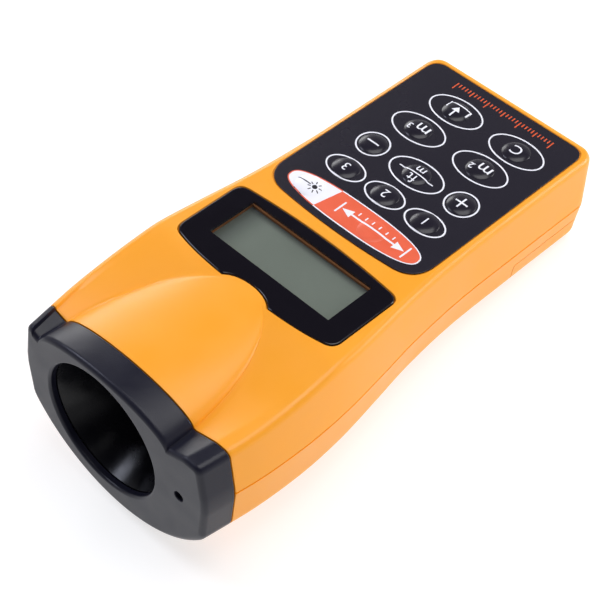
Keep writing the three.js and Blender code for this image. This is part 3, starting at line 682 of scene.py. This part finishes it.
def top_housing():
    """The shell above the parting line, open for the overlay, the window and the keys."""
    body = cut(outer_body(upper_line), inner_body(upper_line, WALL, -1),
               flared(keypad_outline, PAD_POCKET), flared(window_outline, WINDOW_POCKET),
               lcd_block(LCD_BORDER + GAP, -6, 1))
    for place in KEYS.values():
        body = cut(body, turned([(KEY_R + GAP, -6), (KEY_R + GAP, 1)], place))
    return body


def bottom_outer():
    """The outside below the parting line, a gap lower than it."""
    return outer_body(lambda y, inset=0.0: lower_line(y, inset, PART_Z - GAP))


def door_region(gap):
    """The block that belongs to the battery door, drawn back by a gap."""
    return block(-60, DOOR_FRONT_Y + gap, -80, 60, 60, DOOR_TOP_Z - gap)


def bottom_housing():
    """The shell below the parting line, with the battery's tray and the screw bosses."""
    outer = bottom_outer()
    tray_x, tray_front, tray_rear, wall = 27.6, DOOR_FRONT_Y + 1.2, -1.4, 1.4
    over = DOOR_TOP_Z + GAP
    bulkhead = block(-40, BULKHEAD_Y, -40, 40, BULKHEAD_Y + wall, PART_Z - 2)
    ledge = block(-40, BULKHEAD_Y, over, 40, 10, over + 1.6)
    tray = block(-tray_x, BULKHEAD_Y, over, tray_x, tray_rear + wall, TRAY_ROOF)
    cavity = block(-tray_x + wall, tray_front - 1, -60, tray_x - wall, tray_rear, TRAY_ROOF - wall)
    lead_slot = block(-26, BULKHEAD_Y - 1, DOOR_TOP_Z + 1, -23.8, tray_front + 1, -18)
    body = cut(outer, inner_body(lower_line, WALL, 1))
    body = join(body, common(bulkhead, outer), common(ledge, outer), tray)
    body = cut(body, cavity, lead_slot)
    for x, y, seat in SCREWS:
        boss = turned([(BOSS_R, -60), (BOSS_R, PART_Z - 0.6)], (x, y), sides=40)
        recess = turned([(RECESS_R, -60), (RECESS_R, seat)], (x, y), sides=40)
        shank = turned([(SHANK_R, -60), (SHANK_R, -10)], (x, y), sides=32)
        body = cut(join(body, common(boss, outer)), recess, shank)
    low, high = TONGUE_Z[0] - GAP, TONGUE_Z[1] + GAP
    half = TONGUE_HALF + 0.4
    for x in TONGUES_X:
        body = cut(body, block(x - half, BULKHEAD_Y - 1, low, x + half, DOOR_FRONT_Y + 1, high))
    body = cut(body, door_region(-GAP / 2))
    return join(body, rim_lip(lower_line, PART_Z - 0.03, PART_Z - 1.6))


def battery_door():
    """The door that wraps up both sides of the tail, with its tongues."""
    outer = bottom_outer()
    body = common(cut(outer, inner_body(lower_line, WALL, 1)), door_region(GAP / 2))
    edge = DOOR_FRONT_Y + GAP / 2
    low, high = TONGUE_Z
    for x in TONGUES_X:
        left, right = x - TONGUE_HALF, x + TONGUE_HALF
        tongue = block(left, edge - TONGUE_LENGTH, low, right, edge + 1.5, high)
        root = block(left, edge, low - 2, right, edge + 1.5, high)
        body = join(body, tongue, common(root, outer))
    lip = rim_lip(lower_line, DOOR_TOP_Z + GAP / 2 - 0.03, DOOR_TOP_Z - 1.4)
    return join(body, common(lip, block(-60, DOOR_FRONT_Y + 2, -80, 60, 60, -10)))


def nose_cap():
    """The cap with the horn's mouth and the laser's hole."""
    rear = CAP_REAR_Y - GAP / 2
    levels = [(NOSE_Y + CAP_EDGE * (1 - sin(a)), CAP_EDGE * (1 - cos(a)))
              for a in np.linspace(pi / 2, 0, 9)]
    levels += [(y, 0.0) for y in np.linspace(NOSE_Y + CAP_EDGE + 1.3, rear - 0.3, 6)]
    levels += [(rear - back, inset) for back, inset in FRONT_BREAK[::-1]]
    body = skin([ring(y, whole_line(y, inset)) for y, inset in levels])
    inner = skin([ring(y, whole_line(y, WALL)) for y in (NOSE_Y + WALL, -155, CAP_REAR_Y + 2)])
    mouth = [(MOUTH_R + MOUTH_EDGE, NOSE_Y - 1), (MOUTH_R + MOUTH_EDGE, NOSE_Y)]
    mouth += [(MOUTH_R + MOUTH_EDGE * (1 - sin(a)), NOSE_Y + MOUTH_EDGE * (1 - cos(a)))
              for a in np.linspace(0.15, pi / 2, 8)]
    mouth += [(MOUTH_R, NOSE_Y + WALL + 1)]
    hole = [(LASER_HOLE_R + r, NOSE_Y + y)
            for r, y in ((0.3, -1), (0.3, 0), (0.1, 0.1), (0, 0.35), (0, WALL + 1))]
    clearance = MOUTH_R + HORN_WALL + 0.6
    behind = [(clearance, NOSE_Y + WALL), (clearance, CAP_REAR_Y + 2)]
    return cut(body, inner,
               turned(mouth, (HORN_X, HORN_Z), "Y", 128),
               turned(behind, (HORN_X, HORN_Z), "Y", 96),
               turned(hole, (LASER_X, LASER_Z), "Y", 40))


def acoustic_horn():
    """The flared cone behind the mouth, with the transducer's seat at its throat."""
    lip = NOSE_Y + WALL + GAP
    collar = THROAT_Y + 9
    seat = CAN_R + 2.4
    bore = []
    for t in np.linspace(0, 1, 40):
        flare = THROAT_R + (MOUTH_R - 0.2 - THROAT_R) * (1 - t) ** 1.15
        bore.append((flare, lip + (THROAT_Y - lip) * t))
    outside = [(r + HORN_WALL, y) for r, y in bore][::-1]
    profile = [
        *bore, (THROAT_R, THROAT_Y + 1.2), (seat, THROAT_Y + 1.2), (seat, collar),
        (seat + HORN_WALL, collar), (seat + HORN_WALL, THROAT_Y), *outside[1:],
    ]
    return turned(profile, (HORN_X, HORN_Z), "Y", 128, closed=True)


def lcd_block(grow, z0, z1):
    """A block over the display's visible area, grown sideways."""
    x = LCD_HALF + grow
    return block(-x, LCD_FRONT_Y - grow, z0, x, LCD_REAR_Y + grow, z1)


def window_frame():
    """The window's printed border, with its clear opening over the display."""
    body = soft_plate(window_outline, -WINDOW_POCKET + GAP, PAD_TOP, 0.35)
    return cut(body, lcd_block(0, -5, 2), lcd_block(0.4, -5, -0.75))


def window_pane():
    """The clear part of the window, flush with its border."""
    return lcd_block(-0.01, -0.7, PAD_TOP - 0.003)


def display_surround():
    """The moulded rim of the housing that shows round the display under the window."""
    rim = lcd_block(0.35, LCD_TOP + 0.03, -0.8)
    opening = block(-LCD_HALF, LCD_FRONT_Y, -5, LCD_HALF, LCD_REAR_Y - LCD_SILL, 2)
    return cut(rim, opening)


def keypad_overlay():
    """The printed film, open over the keys' domes."""
    body = soft_plate(keypad_outline, -PAD_POCKET + GAP, PAD_TOP, 0.12)
    for x, y in KEYS.values():
        body = cut(body, turned([(KEY_R + 0.02, -2), (KEY_R + 0.02, 2)], (x, y)))
    return body


def dome_height(key, r):
    """Height of an embossed key above the overlay at a distance from its middle."""
    t = np.clip(r / KEY_R, 0, 1)
    return (LOW_KEY_RISE if key == "measure" else KEY_RISE) * (1 - t**3.2) ** 0.8


def key_dome(key, x, y):
    """One embossed key."""
    base = -PAD_POCKET + GAP
    radii = KEY_R * np.sin(np.linspace(pi / 2, 0.05, 16))
    profile = [(0.2, base), (KEY_R, base), (KEY_R, PAD_TOP)]
    profile += [(r, PAD_TOP + dome_height(key, r)) for r in radii[1:]]
    return turned(profile, (x, y), sides=KEY_SIDES)


# ------ printed legends

PRINT_LIFT = 0.025  # a print's face above what carries it, for each layer
PRINT_THICK = 0.055
RING_STROKE = 0.5
SIGN_STROKE = 0.55
DIMENSION_Y = -69.3  # the measure key's arrow
DIMENSION_ENDS = {-4.6: 1, 20.4: -1}
BEAM = (-17.0, -69.4)  # the laser key's sign

prints = {}


def winding(points, loops):
    """How often the loops run round each point."""
    total = np.zeros(len(points))
    for loop in loops:
        a = np.asarray(loop)
        b = np.roll(a, -1, axis=0)
        for (x0, y0), (x1, y1) in zip(a, b):
            side = (x1 - x0) * (points[:, 1] - y0) - (points[:, 0] - x0) * (y1 - y0)
            up = (y0 <= points[:, 1]) & (y1 > points[:, 1]) & (side > 0)
            down = (y0 > points[:, 1]) & (y1 <= points[:, 1]) & (side < 0)
            total += up.astype(float) - down.astype(float)
    return total


def filled_in(loop, step=0.45):
    """A loop with its long edges divided."""
    points = []
    for a, b in zip(loop, np.roll(loop, -1, axis=0)):
        pieces = max(1, int(ceil(dist(a, b) / step)))
        points += [a + (b - a) * i / pieces for i in range(pieces)]
    return np.array(points)


def circle(x, y, rx, ry=None, count=72):
    """A circle, or an oval with a second radius."""
    a = np.linspace(0, 2 * pi, count, endpoint=False)
    return np.c_[x + rx * np.cos(a), y + (ry or rx) * np.sin(a)]


def bar(x0, y0, x1, y1, width):
    """A straight stroke as a loop."""
    along = np.array((x1 - x0, y1 - y0), float)
    side = np.array((-along[1], along[0])) / np.linalg.norm(along) * width / 2
    a, b = np.array((x0, y0)), np.array((x1, y1))
    return np.array([a - side, b - side, b + side, a + side])


def winds_left(loop):
    """Whether a loop runs anticlockwise."""
    x, y = loop[:, 0], loop[:, 1]
    return np.sum(x * np.roll(y, -1) - y * np.roll(x, -1)) > 0


def polygon(*points):
    """A filled corner-to-corner shape, turned so that it winds like a bar."""
    loop = np.array(points, float)
    return loop if winds_left(loop) else loop[::-1]


def ring_loops(x, y, rx, ry, width):
    """An oval ring of a stroke's width."""
    return [circle(x, y, rx + width / 2, ry + width / 2),
            circle(x, y, rx - width / 2, ry - width / 2)[::-1]]


def letters(text, size, weight=0.01):
    """Outlines of generic signs in the built-in font, centred on the origin."""
    curve = bpy.data.curves.new("sign", "FONT")
    curve.body = text
    curve.size = size
    curve.offset = size * weight
    curve.space_character = 1.12
    curve.resolution_u = 5
    curve.dimensions = "2D"
    curve.fill_mode = "NONE"
    sign = add_object("sign", curve)
    graph = bpy.context.evaluated_depsgraph_get()
    mesh = bpy.data.meshes.new_from_object(sign.evaluated_get(graph))
    after = {e.vertices[0]: e.vertices[1] for e in mesh.edges}
    places = np.array([v.co[:2] for v in mesh.vertices])
    loops = []
    while after:
        first, here = next(iter(after.items()))
        del after[first]
        loop = [first]
        while here in after:
            loop.append(here)
            here = after.pop(here)
        if len(loop) > 2:
            loops.append(places[loop])
    bpy.data.objects.remove(sign)
    middle = (np.concatenate(loops).min(axis=0) + np.concatenate(loops).max(axis=0)) / 2
    loops = [loop - middle for loop in loops]
    outer = max(loops, key=lambda q: np.ptp(q[:, 0]) * np.ptp(q[:, 1]))
    return loops if winds_left(outer) else [loop[::-1] for loop in loops]


def placed(loops, x, y):
    """Loops turned to be read from the tail's side, at a place on the keypad."""
    return [(x, y) - loop for loop in loops]


def surface_level(points):
    """Height of the overlay and its domes."""
    level = np.full(len(points), PAD_TOP)
    for key, (x, y) in KEYS.items():
        level += dome_height(key, np.hypot(points[:, 0] - x, points[:, 1] - y))
    return level


def shares(loops):
    """The print that the loops fill, cut up by what carries it: {owner: (points, triangles)}."""
    loops = [filled_in(np.asarray(loop)) for loop in loops]
    low = np.concatenate(loops).min(axis=0) - 0.1
    high = np.concatenate(loops).max(axis=0) + 0.1
    points, edges = [], []

    def constrain(loop):
        """Adds a loop that no triangle may cross."""
        start = len(points)
        points.extend(loop)
        edges.extend((start + i, start + (i + 1) % len(loop)) for i in range(len(loop)))

    for loop in loops:
        constrain(loop)
    near = {name: c for name, c in KEYS.items()
            if low[0] - KEY_R < c[0] < high[0] + KEY_R and low[1] - KEY_R < c[1] < high[1] + KEY_R}
    for x, y in near.values():
        constrain(circle(x, y, KEY_R, count=KEY_SIDES))
        inner = [circle(x, y, r, count=max(6, int(2 * pi * r / 0.5)))
                 for r in np.arange(0.4, KEY_R - 0.2, 0.5)]
        for row in inner:
            kept = np.all((row > low) & (row < high), axis=1)
            points += list(row[kept])
    made = delaunay_2d_cdt([Vector(p) for p in points], edges, [], 0, 1e-5)
    places = np.array([tuple(p) for p in made[0]])
    triangles = np.array([tuple(t) for t in made[2]])
    middles = places[triangles].mean(axis=1)
    triangles = triangles[winding(middles, loops) > 0.5]
    middles = places[triangles].mean(axis=1)
    owner = np.full(len(triangles), "root", dtype=object)
    for name, (x, y) in near.items():
        owner[np.hypot(middles[:, 0] - x, middles[:, 1] - y) < KEY_R] = name
    return {o: (places, triangles[owner == o]) for o in sorted(set(owner))}


def thin_print(places, triangles, lift):
    """A thin closed print lying on the keypad, as points and faces."""
    used, inverse = np.unique(triangles, return_inverse=True)
    triangles = inverse.reshape(-1, 3)
    flat = places[used]
    a, b, c = (flat[triangles[:, i]] for i in range(3))
    turned_over = (b - a)[:, 0] * (c - a)[:, 1] - (b - a)[:, 1] * (c - a)[:, 0] < 0
    triangles[turned_over] = triangles[turned_over][:, ::-1]
    level = surface_level(flat)
    points = np.concatenate([np.c_[flat, level + lift], np.c_[flat, level + lift - PRINT_THICK]])
    count = len(flat)
    faces = [list(t) for t in triangles] + [[i + count for i in t[::-1]] for t in triangles]
    sides = {(t[i], t[(i + 1) % 3]) for t in triangles for i in range(3)}
    faces += [[i, i + count, j + count, j] for i, j in sides if (j, i) not in sides]
    return points, faces


def ink(loops, material=INK_WHITE, level=1, group="legend"):
    """Adds a print to whatever carries it: the overlay, or a key that moves under it."""
    for owner, (places, triangles) in shares(loops).items():
        if len(triangles):
            made = thin_print(places, triangles, PRINT_LIFT * level)
            prints.setdefault((group, owner), []).append((*made, material))


def lens_outline(grow):
    """The long full oval round the two front keys."""
    a = np.linspace(0, 2 * pi, 160, endpoint=False)
    c, s = np.cos(a), np.sin(a)
    across = np.sign(c) * np.abs(c) ** (2 / LENS_POWER)
    along = np.sign(s) * np.abs(s) ** (2 / LENS_POWER)
    x, y, half, depth = LENS
    return np.c_[x + (half + grow) * across, y + (depth + grow) * along]


def half_plane(loop, measuring):
    """The part of the lens on the measure key's side of its slanted divider, or the other."""
    top, low = DIVIDER
    across = np.array((-(low - top)[1], (low - top)[0]))
    side = (loop - top) @ across * (1 if measuring else -1)
    kept = []
    for i in range(len(loop)):
        j = (i + 1) % len(loop)
        if side[i] >= 0:
            kept.append(loop[i])
        if side[i] * side[j] < 0:
            t = side[i] / (side[i] - side[j])
            kept.append(loop[i] + (loop[j] - loop[i]) * t)
    return polygon(*kept)


def print_signs():
    """The rings round the keys and the white signs inside them."""
    for name, (rx, ry) in OVALS.items():
        ink(ring_loops(*KEYS[name], rx, ry, RING_STROKE))
    signs = {"memory_1": ("1", 4.6), "memory_2": ("2", 4.6), "memory_3": ("3", 4.6),
             "area": ("m²", 6.4), "volume": ("m³", 6.4), "clear": ("C", 5.4)}
    for name, (text, size) in signs.items():
        ink(placed(letters(text, size), *KEYS[name]))
    x, y = KEYS["plus"]
    ink([bar(x - 2.2, y, x + 2.2, y, SIGN_STROKE), bar(x, y - 2.2, x, y + 2.2, SIGN_STROKE)])
    x, y = KEYS["minus"]
    ink([bar(x - 2.2, y, x + 2.2, y, SIGN_STROKE)])
    x, y = KEYS["units"]
    ink(placed(letters("ft", 4.6), x, y - 2.5))
    ink([bar(x - 6.4, y - 0.1, x + 6.4, y - 0.1, 0.42)])
    ink(placed(letters("m", 4.6), x, y + 2.1))
    x, y = KEYS["store"]
    tray = [bar(x + side, y - 0.2, x + side, y + 2.6, 0.5) for side in (-3.8, 3.8)]
    tray.append(bar(x - 4.05, y + 2.6, x + 4.05, y + 2.6, 0.5))
    arrow = [bar(x, y - 3.2, x, y, SIGN_STROKE),
             polygon((x - 1.5, y - 0.5), (x + 1.5, y - 0.5), (x, y + 1.6))]
    ink(tray + arrow)


def print_lens():
    """The front keys' oval: a red half with an arrow, a white one with a beam."""
    layers = ((LENS_RIM, 1, (INK_WHITE, INK_RED)), (0, 2, (INK_RED, INK_WHITE)))
    for grow, level, inks in layers:
        for measuring, material in zip((True, False), inks):
            ink([half_plane(lens_outline(grow), measuring)], material, level, "lens")
    y = DIMENSION_Y
    arrows = [bar(-1.0, y, 16.8, y, 0.6)]
    for x, way in DIMENSION_ENDS.items():
        base = x + 4.4 * way
        arrows.append(polygon((x + 0.7 * way, y), (base, y - 1.5), (base, y + 1.5)))
        arrows.append(bar(x, y - 2.5, x, y + 2.5, SIGN_STROKE))
    arrows += [bar(x, y + 1.1, x, y + 2.4, 0.4) for x in np.arange(1.4, 16.0, 2.6)]
    ink(arrows, INK_WHITE, 3, "lens")
    x, y = BEAM
    sun = x + 2.2
    beam = [circle(sun, y, 0.8, count=24)]
    for a in np.arange(8) * pi / 4 + pi / 8:
        c, s = cos(a), sin(a)
        beam.append(bar(sun + 1.25 * c, y + 1.25 * s, sun + 2.2 * c, y + 2.2 * s, 0.32))
    beam.append(bar(x - 4.4, y, x + 0.6, y, 0.4))
    ink(beam, INK_BLACK, 3, "lens")


def print_ruler():
    """A row of ruler ticks along the tail edge."""
    ticks = []
    for i in range(31):
        x = -17.2 + i * 1.24
        length = 3.3 if i % 10 == 0 else 2.5 if i % 5 == 0 else 1.6
        ticks.append(bar(x, -3.4, x, -3.4 - length, 0.42))
    ink(ticks, INK_ORANGE, 1, "ruler")


def show_prints():
    """Puts the prints in the scene, one piece for each group and what carries it."""
    for (group, owner), parts in sorted(prints.items()):
        points, faces, indices, materials = [], [], [], []
        for own_points, own_faces, material in parts:
            if material not in materials:
                materials.append(material)
            start = len(points)
            points += list(own_points)
            faces += [[i + start for i in f] for f in own_faces]
            indices += [materials.index(material)] * len(own_faces)
        body = "root" if owner == "root" else f"{owner}_button"
        name = f"{group}_print" if owner == "root" else f"{group}_print_{owner}"
        piece = show(name, mesh_of(points, faces), materials, body, sharp=50)
        piece.data.polygons.foreach_set("material_index", indices)


# ------ inside pieces


def transducer():
    """The can with its rolled rim and grooved face, and the two pins."""
    y0 = THROAT_Y + 1.2 + GAP
    profile = [(0.1, y0 + 0.8)]
    for r in (1.2, 2.6, 4.0, 5.4):
        profile += [(r, y0 + 0.8), (r + 0.2, y0 + 1.05), (r + 0.5, y0 + 1.05), (r + 0.7, y0 + 0.8)]
    profile += [(6.6, y0 + 0.6), (CAN_R - 1, y0 + 0.5)]
    profile += [(CAN_R - 0.5 - 0.5 * cos(a), y0 + 0.5 - 0.5 * sin(a))
                for a in np.linspace(0, pi, 9)]
    profile += [(CAN_R, y0 + 11.1), (CAN_R - 0.4, y0 + 11.5), (0.1, y0 + 11.5)]
    body = turned(profile, (HORN_X, HORN_Z), "Y", 96)
    for side in (-1, 1):
        pin = turned([(0.35, y0 + 11), (0.35, y0 + 15.3), (0.2, y0 + 15.5)],
                     (HORN_X + side * 4, HORN_Z), "Y", 20)
        body = join(body, pin)
    return body


def battery_case():
    """The 9 V block with rounded edges and its two studs, lying across the tail."""
    length, wide, deep = BATTERY
    x0, x1 = BATTERY_X - length / 2, BATTERY_X + length / 2
    middle = BATTERY_TOP - deep / 2
    rounding = ((0, 0.7), (0.15, 0.3), (0.6, 0.05), (1.2, 0))
    levels = [(x0 + d, shrink) for d, shrink in rounding] + [(x1 - BAND_LENGTH, 0)]
    levels += [(x1 - d, shrink) for d, shrink in rounding[::-1]]
    rings = []
    for x, shrink in levels:
        corner = 2.0 - shrink * 0.5
        out_y, out_z = wide / 2 - shrink - corner, deep / 2 - shrink - corner
        loop = []
        for side_y, side_z, start in ((1, 1, 0), (-1, 1, 90), (-1, -1, 180), (1, -1, 270)):
            for a in np.radians(np.linspace(start, start + 90, 7)):
                loop.append((x, BATTERY_Y + side_y * out_y + corner * cos(a),
                             middle + side_z * out_z + corner * sin(a)))
        rings.append(np.array(loop))
    body = skin(rings)
    stud = [(0.1, x0 - 1.4), (1.4, x0 - 1.4), (1.5, x0 - 2.0), (2.3, x0 - 2.0), (2.7, x0 - 1.5),
            (2.7, x0 + 0.4)]
    for side in (-1, 1):
        body = join(body, turned(stud, (BATTERY_Y + side * 6.3, middle), "X", 40))
    return body


# ------ assembly


def second_material(piece, chosen):
    """Gives a piece's second material to the faces that a test of their middle picks."""
    back = TO_ROW.inverted()
    for face in piece.data.polygons:
        if chosen(*(back @ face.center)):
            face.material_index = 1


def in_seam(_, y, z):
    """Whether a place lies in one of the narrow gaps round a housing, where shade is painted."""
    in_parting = abs(z - (PART_Z - GAP / 2)) < GAP / 2 + RIM_BREAK
    in_door_gap = abs(z - DOOR_TOP_Z) < GAP / 2 + 0.04 and y > DOOR_FRONT_Y - GAP
    behind_cap = y < CAP_REAR_Y + GAP / 2 + 0.12
    return in_parting or in_door_gap or behind_cap


# the faces in the gaps get the painted seam shade as their second material
ORANGE_AND_SEAM_SHADE = [ORANGE, SEAM_SHADE]
for housing in (
    show("shell_top", top_housing(), ORANGE_AND_SEAM_SHADE, nodes=["top_housing"]),
    show("shell_bottom", bottom_housing(), ORANGE_AND_SEAM_SHADE, nodes=["bottom_housing"]),
    show("door", battery_door(), ORANGE_AND_SEAM_SHADE, "battery_door", ["battery_door"]),
):
    second_material(housing, in_seam)
show("nose", nose_cap(), [CHARCOAL], nodes=["nose_cap"])
show("horn", acoustic_horn(), [HORN_BLACK], nodes=["acoustic_horn"])
show("window_border", window_frame(), [WINDOW_BLACK], nodes=["display_window"])
show("window_pane", window_pane(), [CLEAR])
show("display_surround", display_surround(), [SURROUND])
show("keypad_film", keypad_overlay(), [FILM], nodes=["keypad_overlay"])
for key, place in KEYS.items():
    show(f"dome_{key}", key_dome(key, *place), [DOME_FILM], f"{key}_button", [f"key_{key}"],
         sharp=40)
print_signs()
print_lens()
print_ruler()
show_prints()
show("transducer_can", transducer(), [ALUMINIUM], nodes=["ultrasonic_transducer"])
battery = show("battery_block", battery_case(), [SLEEVE, SLEEVE_BAND], nodes=["battery"])
second_material(battery, lambda x, y, z: x > BATTERY_X + BATTERY[0] / 2 - BAND_LENGTH)

KEPT_NODES = {
    "main_board": BOARD, "lcd_frame": FRAME_BLACK, "lcd_panel": LCD, "zebra_strip": SILICONE,
    "piezo_buzzer": BRASS, "transducer_gasket": RUBBER, "laser_module": BRASS,
    "laser_lens": WINDOW_BLACK, "battery_snap": FRAME_BLACK, "battery_lead_red": WIRE_RED,
    "battery_lead_black": WIRE_BLACK,
}
for key in KEYS:
    KEPT_NODES[f"plunger_{key}"] = SILICONE
    KEPT_NODES[f"switch_{key}"] = STEEL
for number in range(1, len(SCREWS) + 1):
    KEPT_NODES[f"housing_screw_{number}"] = STEEL
for node, material in KEPT_NODES.items():
    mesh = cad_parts[node].data
    mesh.materials.clear()
    mesh.materials.append(material)

# ------ camera, floor and light

# The eye and the target are places in the design frame.
CAMERA_EYE = Vector((215.93, -325.14, 328.05))
CAMERA_TARGET = Vector((3.45, -92.97, -15.0))
CAMERA_ROLL = radians(-3.10)
CAMERA_LENS = 99.36
FLOOR_REACH = 3.0


def add_camera():
    """The camera, over the nose's right side."""
    camera = add_object("camera", bpy.data.cameras.new("camera"))
    camera.data.lens = CAMERA_LENS
    camera.data.sensor_width = 36
    camera.data.clip_start = 0.01
    camera.data.clip_end = 20
    forward = (CAMERA_TARGET - CAMERA_EYE).normalized()
    right = forward.cross(Vector((0, 0, 1))).normalized()
    up = right.cross(forward)
    roll = Matrix.Rotation(CAMERA_ROLL, 3, forward)
    right, up = roll @ right, roll @ up
    turn = Matrix((right, up, -forward)).transposed()
    tilt = Matrix.Rotation(-REST_TILT, 3, "X")
    camera.matrix_world = Matrix.Translation(TO_ROW @ CAMERA_EYE) @ (tilt @ turn).to_4x4()
    bpy.context.scene.camera = camera


def add_light(name, place, aim, size, power, colour=(1, 1, 1)):
    """A soft box at a place, turned towards another."""
    light = bpy.data.lights.new(name, "AREA")
    light.shape = "RECTANGLE"
    light.size, light.size_y = size
    light.energy = power
    light.color = colour
    lamp = add_object(name, light)
    lamp.location = place
    lamp.rotation_euler = (Vector(place) - Vector(aim)).to_track_quat("Z", "Y").to_euler()


def add_floor():
    """The plain pale floor that the meter lies on."""
    material, tree, shader = new_material("studio_floor")
    set_inputs(tree, shader, {
        "Base Color": (0.45, 0.45, 0.45, 1),
        "Roughness": 0.6,
        "Specular IOR Level": 0.2,
        "Emission Color": (1, 1, 1, 1),
        "Emission Strength": 0.68,
    })
    mesh = bpy.data.meshes.new("floor")
    corners = [(FLOOR_REACH * x, FLOOR_REACH * y, 0) for x, y in ((-1, -1), (1, -1), (1, 1), (-1, 1))]
    mesh.from_pydata(corners, [], [[0, 1, 2, 3]])
    mesh.materials.append(material)
    add_object("floor", mesh)


def add_sky():
    """A pale surround that is darker overhead, as under a light tent's open top."""
    world = bpy.data.worlds.new("studio")
    world.use_nodes = True
    bpy.context.scene.world = world
    tree = world.node_tree
    place = add_node(tree, "TexCoord", {}).outputs["Generated"]
    split = add_node(tree, "SeparateXYZ", {"Vector": place})
    ramp = add_node(tree, "ValToRGB", {"Fac": split.outputs["Z"]})
    pale, dark = ramp.color_ramp.elements
    pale.position, pale.color = 0.3, (0.55, 0.55, 0.57, 1)
    dark.position, dark.color = 0.62, (0.05, 0.05, 0.06, 1)
    set_inputs(tree, tree.nodes["Background"], {"Color": ramp.outputs["Color"], "Strength": 1.0})


add_camera()
add_floor()
add_sky()
add_light("beside_tail", (0.45, 0.62, 0.2), (0.02, 0.05, 0.03), (0.3, 0.25), 2.4)
add_light("rear_left", (-0.8, 0.48, 0.32), (0, -0.03, 0.03), (0.45, 0.36), 2.6)
add_light("horn_gleam", (-0.62, -0.2, 0.72), (0, -0.07, 0.03), (0.3, 0.3), 2.8, (0.8, 0.84, 1.0))
add_light("overhead", (0.18, 0.3, 1.15), (0, -0.03, 0.03), (0.9, 0.9), 9.6)
bpy.context.scene.view_settings.view_transform = "Standard"

# ------ final update

bpy.context.view_layer.update()
